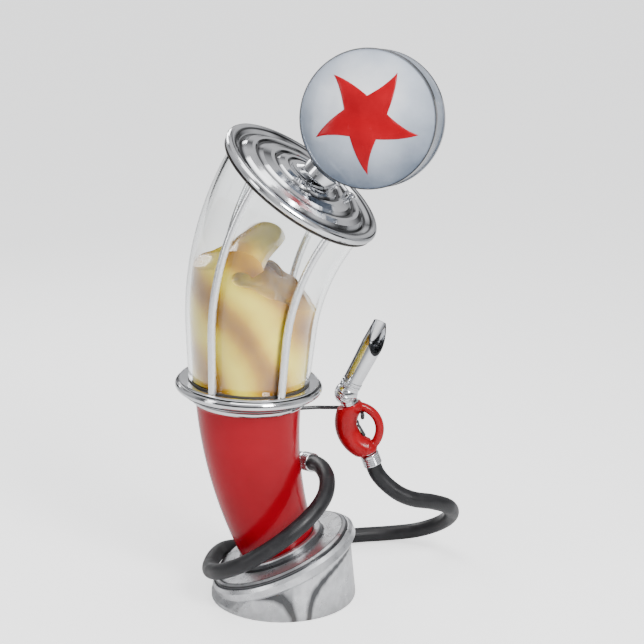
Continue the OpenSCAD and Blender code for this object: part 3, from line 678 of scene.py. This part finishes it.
def give_nodes_their_finish():
    """Every part of the frame takes its own finish, or else that of its slot."""
    for part in frame["record"]["subparts"]:
        mesh = frame["nodes"][part["node"]].data
        mesh.materials.clear()
        mesh.materials.append(BY_NODE.get(part["node"], FINISHES[part["material_slot"]]))


def stands_for(obj, node):
    """The piece stands in the place of a node of the frame, which is hidden."""
    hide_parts(node)
    return obj


def shaped_for(node, slot, name, built, **manner):
    """A piece made of (points, faces) in the finish of its slot, in place of a node."""
    return stands_for(piece(name, *built, FINISHES[slot], **manner), node)


# ---------------------------------------------------------------- camera and hose first

VIEW_RISE = 16
LENS = 100
SENSOR = 36


def add_camera():
    low, high = (Vector(corner) for corner in cad_box)
    centre = (low + high) / 2
    tall = (high.z - low.z) * cos_of(VIEW_RISE) + (high.y - low.y) * sin_of(VIEW_RISE)
    distance = 0.535 * tall / (SENSOR / 2 / LENS)
    data = bpy.data.cameras.new("camera")
    data.lens = LENS
    data.sensor_width = SENSOR
    data.clip_end = 100
    camera = bpy.data.objects.new("camera", data)
    camera.location = centre + distance * Vector((0, -cos_of(VIEW_RISE), sin_of(VIEW_RISE)))
    camera.rotation_euler = (math.radians(90 - VIEW_RISE), 0, 0)
    bpy.context.scene.collection.objects.link(camera)
    bpy.context.scene.camera = camera


HOSE_ROUTE = [
    (0.073, 0.118, 0.396), (0.093, 0.094, 0.400), (0.112, 0.062, 0.403), (0.127, 0.022, 0.402),
    (0.138, -0.030, 0.391), (0.133, -0.088, 0.366), (0.106, -0.140, 0.337), (0.056, -0.188, 0.300),
    (-0.020, -0.218, 0.248), (-0.103, -0.212, 0.193), (-0.174, -0.166, 0.145), (-0.219, -0.089, 0.109),
    (-0.231, 0.003, 0.088), (-0.218, 0.093, 0.085), (-0.189, 0.173, 0.074), (-0.127, 0.241, 0.052),
    (-0.045, 0.292, 0.032), (0.050, 0.335, 0.026), (0.145, 0.369, 0.026), (0.245, 0.396, 0.026),
    (0.345, 0.408, 0.028), (0.442, 0.395, 0.045), (0.515, 0.351, 0.088), (0.548, 0.284, 0.146),
    (0.534, 0.210, 0.204), (0.478, 0.152, 0.244), (0.419, 0.122, 0.264), (0.372, 0.112, 0.286),
    (0.331, 0.110, 0.318), (0.300, 0.110, 0.354), (0.284, 0.110, 0.390), (0.273, 0.110, 0.420),
]
FERRULE_LEN, FERRULE_BORE, FERRULE_R = 0.034, HOSE_R + 0.0007, HOSE_R + 0.005
ELBOW_END = 0.0322
ELBOW_REACH, DRAIN_TURN, OUTLET_HEADING = 0.194, 48, -50


def crimped(z0, z1, inner, outer, bands):
    """Section of a ferrule from one end to the other, pressed in by bands."""
    section = [(inner, z0), (outer - 0.001, z0), (outer, z0 + 0.001)]
    steps = 6 * bands
    for k in range(steps + 1):
        t = k / steps
        z = z0 + 0.004 + (z1 - z0 - 0.008) * t
        section.append((outer - 0.0011 * (1 - math.cos(2 * math.pi * bands * t)), z))
    return section + [(outer, z1 - 0.001), (outer - 0.001, z1), (inner, z1)]


def add_hose():
    line = smooth_line(HOSE_ROUTE, 10)
    points, faces, spots = tube(line, HOSE_R, 36)
    hose = shaped_for("hose", "hose_rubber", "delivery_hose", (points, faces), uv=spots)
    elbow = place_at(OUTLET_S)
    centre = elbow @ Vector((ELBOW_REACH * cos_of(DRAIN_TURN), ELBOW_REACH * sin_of(DRAIN_TURN), 0))
    out = elbow.to_3x3() @ Vector((cos_of(OUTLET_HEADING), sin_of(OUTLET_HEADING), 0))
    aside = elbow.to_3x3() @ Vector((0, 0, 1))
    at_elbow = frame_of(aside.cross(out), aside, out, centre)
    section = crimped(ELBOW_END, ELBOW_END + FERRULE_LEN, FERRULE_BORE, FERRULE_R, 4)
    built = revolved(section, at_elbow, 64, closes=True)
    ferrule = shaped_for("hose_ferrule", "chrome", "outlet_ferrule", built, soft_angle=60)


# ---------------------------------------------------------------- column, cover and pump


def wall_section(s0, s1, steps, radius, wall, bead=0.0):
    """Closed section of a shell's wall: up the outside, round the lip and down the inside."""
    stations = [s0 + (s1 - s0) * k / steps for k in range(steps + 1)]

    def swell(s):
        near = min(abs(s - s0 - 0.007), abs(s1 - 0.007 - s))
        return bead * max(0.0, 1 - (near / 0.006) ** 2)

    ends = [s0 + 0.001 * k for k in range(1, 15)] + [s1 - 0.001 * k for k in range(1, 15)]
    stations = sorted(set(stations + (ends if bead else [])))
    lip = min(wall / 2, 0.003)
    outside = [(s, radius(s) + swell(s)) for s in stations if s0 + lip <= s <= s1 - lip]
    inside = [(s, radius(s) - wall) for s in reversed(stations) if s0 + lip <= s <= s1 - lip]
    top = [(s1 - lip + lip * math.sin(t), radius(s1) - lip + lip * math.cos(t))
           for t in (0.0, math.pi / 6, math.pi / 3, math.pi / 2)]
    top += [(s1, radius(s1) - wall + lip), (s1 - lip, radius(s1) - wall)]
    foot = [(s0 + lip, radius(s0) - wall), (s0, radius(s0) - wall + lip), (s0, radius(s0) - lip)]
    foot += [(s0 + lip - lip * math.cos(t), radius(s0) - lip + lip * math.sin(t))
             for t in (math.pi / 6, math.pi / 3)]
    return outside + top + inside + foot


def add_column():
    section = wall_section(COLUMN_S0, COLUMN_S1, 60, column_r, COLUMN_WALL, bead=0.0022)
    shaped_for("column_shell", "red_enamel", "column_skin", swept_wall(section, 160))


COVER_HALF_WIDE, COVER_HALF_TALL = 0.066, 0.060
COVER_SCREW_TURNS, COVER_SCREW_RISE = (67, 113), 0.052


def add_service_cover():
    """A pressed plate that follows the column, with a raised bead round its edge."""
    across, along = 40, 36
    half_turn = math.degrees(COVER_HALF_WIDE / column_r(WINDOW_S))
    points = []
    for layer in (0.0045, 0.0):
        for i in range(along + 1):
            v = 2 * i / along - 1
            s = WINDOW_S + COVER_HALF_TALL * v
            for j in range(across + 1):
                u = 2 * j / across - 1
                edge = min(1 - abs(u), (1 - abs(v)) * 0.8)
                bead = 0.0018 * math.exp(-(((edge - 0.11) / 0.035) ** 2))
                drop = 0.002 * max(0.0, 1 - edge / 0.03) if layer else 0.0
                rise = 0.0006 + (layer + bead - drop if layer else 0.0)
                r = column_r(s) + rise
                points.append(middle(s) + r * turned_out(s, 90 + half_turn * u))
    wide = across + 1
    count = wide * (along + 1)
    faces = []
    for base in (0, count):
        for i in range(along):
            for j in range(across):
                a = base + i * wide + j
                faces.append((a, a + 1, a + wide + 1, a + wide))
    rim = [j for j in range(wide)] + [i * wide + across for i in range(1, along + 1)]
    rim += [along * wide + j for j in range(across - 1, -1, -1)] + [i * wide for i in range(along - 1, 0, -1)]
    for a, b in zip(rim, rim[1:] + rim[:1]):
        faces.append((a, b, b + count, a + count))
    shaped_for("service_cover", "red_enamel", "rear_cover", (points, faces), soft_angle=50)


# ---------------------------------------------------------------- glass, liquid and rods


def add_glass():
    section = wall_section(GLASS_S0, GLASS_S1, 70, glass_r, GLASS_WALL)
    shaped_for("glass_cylinder", "clear_glass", "glass_tube", swept_wall(section, 160))


CREST, BARREL = (-0.088, 1.108), (-0.082, 1.068)


def wave_outline(depth):
    """The liquid's outline seen from the front, at a depth from front to back between -1 and 1."""
    fall = 1 - 0.22 * depth**2
    push = 0.020 * math.sin(2.2 * depth) + 0.012 * depth
    ripple = 0.006 * math.sin(7.0 * depth)
    top = []
    for t in range(170, 1, -8):
        x = CREST[0] + push + 0.070 * cos_of(t)
        top.append((x, CREST[1] - 0.062 * (1 - fall) + 0.062 * fall * sin_of(t)))
    for t in range(14, 262, 16):
        x = BARREL[0] + push + (0.030 + 0.004 * math.sin(5 * depth)) * cos_of(t)
        top.append((x, BARREL[1] + ripple + 0.025 * fall * sin_of(t)))
    slope = [(-0.058, 1.040), (-0.036, 1.030), (-0.014, 1.013), (0.008, 0.999),
             (0.030, 0.988), (0.047, 0.979), (0.064, 0.966), (0.082, 0.955),
             (0.100, 0.940), (0.130, 0.929), (0.160, 0.924), (0.330, 0.900)]
    for k, (x, z) in enumerate(slope):
        lap = 0.007 * math.sin(1.3 * k + 4.0 * depth) * min(1.0, k / 3)
        top.append((x + push * max(0.0, 1 - k / 5), z + lap + ripple * max(0.0, 1 - k / 5)))
    left = [(-0.420, 1.090), (-0.262, 1.084 + 0.5 * ripple), (-0.225, 1.082 + ripple), (-0.190, 1.092)]
    return [(0.330, 0.500), (-0.420, 0.500)] + left + top


def add_liquid():
    slices = 36
    rings = []
    for k in range(slices + 1):
        depth = 2 * k / slices - 1
        rings.append([Vector((x, 0.290 * depth, z)) for x, z in wave_outline(depth)])
    wave = piece("wave_cutter", *rings_along(rings), FINISHES["fuel"])
    inner = GLASS_WALL + 0.001
    rows = [(s, 0, 0, glass_r(s) - inner) for s in np.linspace(GLASS_S0 + 0.001, GLASS_S1 - 0.060, 60)]
    liquid = piece("amber_liquid", *swept(rows, 120), FINISHES["fuel"])
    cut = liquid.modifiers.new("wave", "BOOLEAN")
    cut.operation = "INTERSECT"
    cut.solver = "EXACT"
    cut.object = wave
    shaped = worked_out(liquid)
    liquid.modifiers.clear()
    for spare in (wave, liquid):
        bpy.data.objects.remove(spare)
    stands_for(finished("liquid_wave", shaped, FINISHES["fuel"], soft_angle=38), "fuel")


def add_rods():
    reach_out = ROD_R + 0.001
    for number, turn in enumerate((-121, -59, 59, 121), 1):
        rows = []
        for s in np.linspace(GLASS_S0, GLASS_S1, 50):
            reach = glass_r(s) + reach_out
            rows.append((s, reach * cos_of(turn), reach * sin_of(turn), ROD_R))
        shaped_for(f"tie_rod_{number}", "rod_steel", f"tie_bar_{number}", swept(rows, 32), soft_angle=60)


# ---------------------------------------------------------------- globe's star


def star_edge(turn):
    """Reach of the star's outline at a turn from its top point: straight arms drawn into points."""
    part = abs((turn + 36) % 72 - 36)
    notch = 0.42 * STAR_R
    tip = Vector((STAR_R, 0))
    hollow = Vector((notch * cos_of(36), notch * sin_of(36)))
    along = hollow - tip
    ray = Vector((cos_of(part), sin_of(part)))
    return (tip.x * along.y - tip.y * along.x) / (ray.x * along.y - ray.y * along.x)


def add_star(side, name, node):
    """A fired star lying on the lens, its arms swept a little to one side and its edges rounded."""
    lens_r = GLOBE_R - 0.002
    dome_r = (lens_r**2 + LENS_RISE**2) / (2 * LENS_RISE)
    base = GLOBE_W / 2 + 0.0003
    turns, shares = 360, (0.0, 0.12, 0.28, 0.45, 0.6, 0.74, 0.85, 0.93, 0.97, 0.99, 1.0)
    rings = []
    for layer in (1, 0):
        for share in shares if layer else reversed(shares):
            rounding = math.sqrt(max(0.0, 1 - max(0.0, (share - 0.93) / 0.07) ** 2))
            lift = 0.0002 + (0.0021 * rounding + 0.0012 * (1 - share) if layer else 0.0)
            ring = []
            for k in range(turns):
                turn = 360 * k / turns
                r = share * star_edge(turn)
                swing = turn - side * 9 * (r / STAR_R) ** 2
                x, z = r * sin_of(swing), r * cos_of(swing)
                out = math.sqrt((dome_r + lift) ** 2 - r**2) + LENS_RISE - dome_r + base
                ring.append(AT_GLOBE @ Vector((x, -side * out, z)))
            rings.append(ring)
    points, faces = rings_along(rings, caps=False)
    faces = faces[: (len(rings) - 1) * turns]
    shaped_for(node, "star_red", name, (points, faces), soft_angle=60)


# ---------------------------------------------------------------- nozzle

SWIVEL_Z = 0.2082


def add_grip():
    """The moulded cover: the frame's solid with all of its edges softened."""
    mesh = frame["nodes"]["nozzle_grip"].data.copy()
    bm = bmesh.new()
    bm.from_mesh(mesh)
    bmesh.ops.remove_doubles(bm, verts=bm.verts, dist=1e-6)
    bm.to_mesh(mesh)
    bm.free()
    rough = bpy.data.objects.new("grip_blank", mesh)
    bpy.context.scene.collection.objects.link(rough)
    fine = rough.modifiers.new("even", "REMESH")
    fine.mode = "VOXEL"
    fine.voxel_size = 0.0016
    soft = rough.modifiers.new("soft", "SMOOTH")
    soft.factor = 0.5
    soft.iterations = 7
    shaped = worked_out(rough)
    bpy.data.objects.remove(rough)
    cover = finished("moulded_grip", shaped, FINISHES["red_grip"], soft_angle=80)
    stands_for(cover, "nozzle_grip")


def ribbed_ball(radius, grooves):
    """Section of a ball with shallow grooves turned into it."""
    section = []
    for k in range(73):
        t = 180 * k / 72
        dip = sum(0.0016 * math.exp(-(((t - g) / 2.6) ** 2)) for g in grooves)
        section.append(((radius - dip) * sin_of(t), -(radius - dip) * cos_of(t)))
    return section


def add_knuckle():
    """The valve body: a grooved ball with a banded neck to the spout and another to the grip."""
    ball = revolved(ribbed_ball(0.0368, (62, 75, 88)), AT_SPOUT, 96)
    nut_r = SPOUT_R + 0.002
    nut = [(0.0, 0.010), (nut_r - 0.001, 0.010), (nut_r - 0.001, 0.028), (nut_r, 0.029), (nut_r, 0.034),
           (nut_r - 0.0014, 0.0355), (nut_r - 0.0014, 0.0380), (nut_r, 0.0395), (nut_r, 0.0448),
           (nut_r - 0.001, 0.046), (0.0, 0.046)]
    neck = [(0.0, 0.010), (0.027, 0.010), (0.027, 0.0325), (0.028, 0.0335),
            (0.028, 0.0368), (0.027, 0.0378), (0.0, 0.0378)]
    built = joined([ball, revolved(nut, AT_SPOUT, 96), revolved(neck, AT_GRIP, 96)])
    shaped_for("nozzle_valve_body", "chrome", "valve_knuckle", built)


def add_swivel():
    """The turned joint that holds the hose to the grip's tail."""
    z = SWIVEL_Z
    skirt = crimped(z + 0.010, z + 0.010 + FERRULE_LEN, FERRULE_BORE, FERRULE_R, 4)
    section = [(0.0, z), (0.021, z), (0.022, z + 0.001),
               (0.022, z + 0.004), (0.028, z + 0.0055), (0.030, z + 0.008)]
    section += skirt[3:] + [(FERRULE_BORE, z + 0.011), (0.0, z + 0.011)]
    shaped_for("hose_swivel", "chrome", "tail_swivel", revolved(section, AT_GRIP, 64), soft_angle=50)


HOOK_Y, HOOK_TURN, HOOK_R = 0.166, 48, 0.006
GRIP_MID, GRIP_HALF = 0.122, 0.076
GRIP_BULGE, GRIP_R, GUARD_BULGE, GUARD_R = 0.038, 0.036, 0.064, 0.014


def hook_eye():
    """Where the hook bears: between the grip and the guard, close under their upper meeting."""
    grip_bow = (GRIP_HALF**2 + GRIP_BULGE**2) / (2 * GRIP_BULGE)
    guard_bow = (GRIP_HALF**2 + GUARD_BULGE**2) / (2 * GUARD_BULGE)
    room = HOOK_R + 0.0003
    grip_x, grip_reach = grip_bow - GRIP_BULGE, grip_bow - GRIP_R - room
    guard_x, guard_reach = GUARD_BULGE - guard_bow, guard_bow - GUARD_R - room
    x = (guard_reach**2 - grip_reach**2 + grip_x**2 - guard_x**2) / (2 * (grip_x - guard_x))
    return AT_GRIP @ Vector((x, 0, GRIP_MID - math.sqrt(grip_reach**2 - (grip_x - x) ** 2)))


def add_hook():
    """The bent rod that the nozzle hangs on."""
    eye = hook_eye()
    out = turned_out(HOOK_S, HOOK_TURN)
    face = middle(HOOK_S) + (column_r(HOOK_S) + 0.0072) * out
    route = [face, face + 0.012 * out, face + 0.030 * out]
    route += [Vector((eye.x + x, HOOK_Y, eye.z)) for x in (-0.150, -0.115, -0.080, -0.045)]
    route += [Vector((eye.x - 0.020, HOOK_Y - 0.003, eye.z)), Vector((eye.x - 0.005, HOOK_Y - 0.012, eye.z))]
    route += [Vector((eye.x, y, eye.z)) for y in (0.140, 0.118, 0.096, 0.074)]
    route += [Vector((eye.x, 0.058, eye.z + 0.003)), Vector((eye.x, 0.051, eye.z + 0.016))]
    points, faces, _ = tube(smooth_line(route, 8), HOOK_R, 24)
    shaped_for("nozzle_hook", "dark_iron", "bent_hook", (points, faces))


# ---------------------------------------------------------------- screws and bolts


def fastener_tree(name, material):
    """A tree that puts a head on a washer, slotted if its slot has a width, and its shank on every point."""
    tree = bpy.data.node_groups.new(name, "GeometryNodeTree")
    face = tree.interface
    face.new_socket("Geometry", in_out="INPUT", socket_type="NodeSocketGeometry")
    numbers = (("Head Radius", "FLOAT"), ("Head Height", "FLOAT"), ("Head Sides", "INT"),
               ("Shank Radius", "FLOAT"), ("Shank Length", "FLOAT"), ("Slot Width", "FLOAT"))
    for label, kind in numbers:
        socket = "NodeSocketFloat" if kind == "FLOAT" else "NodeSocketInt"
        face.new_socket(label, in_out="INPUT", socket_type=socket)
    face.new_socket("Geometry", in_out="OUTPUT", socket_type="NodeSocketGeometry")
    nodes, links = tree.nodes, tree.links
    given, result = nodes.new("NodeGroupInput"), nodes.new("NodeGroupOutput")

    def cylinder(radius, depth, sides=None):
        node = nodes.new("GeometryNodeMeshCylinder")
        node.inputs["Vertices"].default_value = 24
        links.new(radius, node.inputs["Radius"])
        links.new(depth, node.inputs["Depth"])
        if sides:
            links.new(sides, node.inputs["Vertices"])
        return node.outputs["Mesh"]

    def arithmetic(operation, a, b):
        node = nodes.new("ShaderNodeMath")
        node.operation = operation
        links.new(a, node.inputs[0])
        if isinstance(b, float):
            node.inputs[1].default_value = b
        else:
            links.new(b, node.inputs[1])
        return node.outputs[0]

    def lifted(mesh, height):
        combine, move = nodes.new("ShaderNodeCombineXYZ"), nodes.new("GeometryNodeTransform")
        links.new(height, combine.inputs["Z"])
        links.new(mesh, move.inputs["Geometry"])
        links.new(combine.outputs[0], move.inputs["Translation"])
        return move.outputs["Geometry"]

    head_r, head_h = given.outputs["Head Radius"], given.outputs["Head Height"]
    washer = lifted(cylinder(arithmetic("MULTIPLY", head_r, 1.22), arithmetic("MULTIPLY", head_h, 0.24)),
                    arithmetic("MULTIPLY", head_h, 0.12))
    head = lifted(cylinder(head_r, arithmetic("MULTIPLY", head_h, 0.86), given.outputs["Head Sides"]),
                  arithmetic("MULTIPLY", head_h, 0.57))
    slot = nodes.new("GeometryNodeMeshCube")
    size = nodes.new("ShaderNodeCombineXYZ")
    links.new(arithmetic("MULTIPLY", head_r, 3.0), size.inputs["X"])
    links.new(given.outputs["Slot Width"], size.inputs["Y"])
    links.new(arithmetic("MULTIPLY", head_h, 0.7), size.inputs["Z"])
    links.new(size.outputs[0], slot.inputs["Size"])
    cut = nodes.new("GeometryNodeMeshBoolean")
    cut.operation = "DIFFERENCE"
    links.new(head, cut.inputs["Mesh 1"])
    links.new(lifted(slot.outputs["Mesh"], head_h), cut.inputs["Mesh 2"])
    length = given.outputs["Shank Length"]
    shank = lifted(cylinder(given.outputs["Shank Radius"], length), arithmetic("MULTIPLY", length, -0.5))
    bundle = nodes.new("GeometryNodeJoinGeometry")
    for part in (washer, cut.outputs["Mesh"], shank):
        links.new(part, bundle.inputs["Geometry"])
    outward = nodes.new("GeometryNodeInputNamedAttribute")
    outward.data_type = "FLOAT_VECTOR"
    outward.inputs["Name"].default_value = "outward"
    align = nodes.new("FunctionNodeAlignRotationToVector")
    align.axis = "Z"
    links.new(outward.outputs["Attribute"], align.inputs["Vector"])
    spin = nodes.new("FunctionNodeRandomValue")
    spin.data_type = "FLOAT"
    spin.inputs[3].default_value = 3.0
    spin.inputs["Seed"].default_value = 7
    twist = nodes.new("ShaderNodeCombineXYZ")
    links.new(spin.outputs[1], twist.inputs["Z"])
    turn = nodes.new("FunctionNodeRotateRotation")
    turn.rotation_space = "LOCAL"
    links.new(align.outputs["Rotation"], turn.inputs["Rotation"])
    links.new(twist.outputs[0], turn.inputs["Rotate By"])
    spread = nodes.new("GeometryNodeInstanceOnPoints")
    links.new(given.outputs["Geometry"], spread.inputs["Points"])
    links.new(bundle.outputs["Geometry"], spread.inputs["Instance"])
    links.new(turn.outputs["Rotation"], spread.inputs["Rotation"])
    real, paint = nodes.new("GeometryNodeRealizeInstances"), nodes.new("GeometryNodeSetMaterial")
    paint.inputs["Material"].default_value = material
    links.new(spread.outputs["Instances"], real.inputs["Geometry"])
    links.new(real.outputs["Geometry"], paint.inputs["Geometry"])
    links.new(paint.outputs["Geometry"], result.inputs["Geometry"])
    return tree


def fasteners(name, tree, places, sizes, material, body="stand"):
    """Screws or bolts at (point, outward) places, with their sizes given by input name."""
    mesh = bpy.data.meshes.new(name)
    mesh.from_pydata([tuple(point) for point, _ in places], [], [])
    outward = mesh.attributes.new("outward", "FLOAT_VECTOR", "POINT")
    for item, (_, direction) in zip(outward.data, places):
        item.vector = direction
    holder = bpy.data.objects.new(name + "_points", mesh)
    bpy.context.scene.collection.objects.link(holder)
    spread = holder.modifiers.new("fasteners", "NODES")
    spread.node_group = tree
    inputs = {i.name: i.identifier for i in tree.interface.items_tree if i.in_out == "INPUT"}
    for label, value in sizes.items():
        spread[inputs[label]] = value
    shaped = worked_out(holder)
    bpy.data.objects.remove(holder)
    return finished(name, shaped, material, body, soft_angle=32)


def head_sizes(radius, height, sides, shank, length, slot):
    return {"Head Radius": radius, "Head Height": height, "Head Sides": sides,
            "Shank Radius": shank, "Shank Length": length, "Slot Width": slot}


def add_fasteners():
    steel = FINISHES["bright_steel"]
    tree = fastener_tree("fastener", steel)
    cover = []
    up = place_at(WINDOW_S).to_3x3() @ Vector((0, 0, 1))
    for turn in COVER_SCREW_TURNS:
        out = turned_out(WINDOW_S, turn)
        for rise in (-COVER_SCREW_RISE, COVER_SCREW_RISE):
            point = middle(WINDOW_S) + rise * up
            cover.append((point + (column_r(WINDOW_S + rise) + 0.0056) * out, out))
    sizes = head_sizes(0.0050, 0.0030, 24, 0.003, 0.012, 0.0014)
    stands_for(fasteners("cover_screw_set", tree, cover, sizes, steel), "cover_screws")

    hook_out = turned_out(HOOK_S, HOOK_TURN)
    tangent = turned_out(HOOK_S, HOOK_TURN + 90)
    seat = middle(HOOK_S) + (column_r(HOOK_S) + 0.0071) * hook_out
    hook = [(seat + 0.020 * k * tangent, hook_out) for k in (-1, 1)]
    sizes = head_sizes(0.0050, 0.0030, 24, 0.003, 0.017, 0.0014)
    stands_for(fasteners("hook_screw_set", tree, hook, sizes, steel), "hook_screws")

    globe = []
    for k in range(3):
        turn = 120 * k + 30
        out = AT_GLOBE.to_3x3() @ Vector((cos_of(turn), sin_of(turn), 0))
        globe.append((AT_GLOBE @ Vector((0, 0, CUP_Z + 0.007)) + (NECK_R + 0.0104) * out, out))
    sizes = head_sizes(0.0055, 0.008, 18, 0.003, 0.010, 0.0016)
    stands_for(fasteners("globe_screw_set", tree, globe, sizes, steel), "globe_screws")

    pump = place_at(PUMP_S)
    back = pump.to_3x3() @ Vector((0, 1, 0))
    plate = []
    for k in range(6):
        turn = 60 * k + 30
        spot = Vector(((PUMP_R - 0.005) * cos_of(turn), 0.0362, -(PUMP_R - 0.005) * sin_of(turn)))
        plate.append((pump @ spot, back))
    sizes = head_sizes(0.0065, 0.0060, 6, 0.003, 0.004, 0.0)
    stands_for(fasteners("pump_bolt_set", tree, plate, sizes, steel), "pump_cover_bolts")


# ---------------------------------------------------------------- floor and light


FLOOR_HALF, FLOOR_GLOW = 40.0, 1.3


def add_floor():
    """A plain pale floor that glows to the camera alone, so that it stays pale far off and through glass."""
    data = bpy.data.meshes.new("floor")
    corners = [(x * FLOOR_HALF, y * FLOOR_HALF, 0) for x, y in ((-1, -1), (1, -1), (1, 1), (-1, 1))]
    data.from_pydata(corners, [], [(0, 1, 2, 3)])
    f = Finish("pale_floor", Roughness=0.6)
    f.colour(f.colours(f.noise(2, 3), ((0.0, (0.86, 0.86, 0.86)), (1.0, (0.90, 0.90, 0.90)))))
    rays = f.nodes.new("ShaderNodeLightPath")
    seen = f.maths("MAXIMUM", rays.outputs["Is Camera Ray"], rays.outputs["Is Transmission Ray"])
    straight = f.maths("LESS_THAN", rays.outputs["Diffuse Depth"], 0.5)
    glow = f.maths("MULTIPLY", f.maths("MULTIPLY", seen, straight), FLOOR_GLOW)
    f.links.new(glow, f.shader.inputs["Emission Strength"])
    f.shader.inputs["Emission Color"].default_value = (1, 1, 1, 1)
    data.materials.append(f.material)
    floor = bpy.data.objects.new("floor", data)
    bpy.context.scene.collection.objects.link(floor)


def add_lamp(name, place, size, power):
    """A soft panel that faces the pump."""
    data = bpy.data.lights.new(name, "AREA")
    data.shape = "RECTANGLE"
    data.size, data.size_y = size
    data.energy = power
    lamp = bpy.data.objects.new(name, data)
    lamp.location = place
    lamp.rotation_euler = (Vector(AIM) - Vector(place)).to_track_quat("-Z", "Y").to_euler()
    bpy.context.scene.collection.objects.link(lamp)


BANDED_SKY = (
    (0.40, 0.30), (0.47, 0.12), (0.54, 0.06), (0.62, 0.70), (0.70, 0.80), (0.76, 0.10), (0.84, 0.85),
)
SOFT_SKY, FAR_SKY = (0.60, 0.61, 0.63), (2.0, 2.0, 2.0)
AIM = (0.05, 0, 0.9)


def add_light():
    """Even surroundings for soft light, banded from low to high where polished parts reflect them."""
    world = bpy.data.worlds.new("studio")
    bpy.context.scene.world = world
    world.use_nodes = True
    sky = Wiring(world.node_tree)
    split = sky.nodes.new("ShaderNodeSeparateXYZ")
    sky.links.new(sky.nodes.new("ShaderNodeTexCoord").outputs["Generated"], split.inputs[0])
    rise = sky.ranged(split.outputs["Z"], -1, 1, 0, 1)
    banded = sky.colours(rise, [(place, (grey, grey, grey * 1.02)) for place, grey in BANDED_SKY])
    rays = sky.nodes.new("ShaderNodeLightPath").outputs
    near = sky.mixed(rays["Is Glossy Ray"], SOFT_SKY, banded)
    background = sky.nodes["Background"].inputs
    sky.links.new(sky.mixed(rays["Is Camera Ray"], near, FAR_SKY), background["Color"])
    background["Strength"].default_value = 0.9
    add_lamp("key", (2.2, -3.0, 3.2), (1.0, 2.4), 230)
    add_lamp("fill", (-3.4, -2.0, 2.0), (0.9, 2.6), 40)
    add_lamp("rim", (-1.6, 3.2, 2.8), (2.0, 1.4), 60)
    add_lamp("top", (0.3, 0.0, 4.2), (2.4, 2.4), 70)


give_nodes_their_finish()
add_camera()
add_hose()
add_column()
add_service_cover()
add_glass()
add_liquid()
add_rods()
add_star(1, "front_star", "star_front")
add_star(-1, "rear_star", "star_back")
add_grip()
add_knuckle()
add_swivel()
add_hook()
add_fasteners()
add_floor()
add_light()
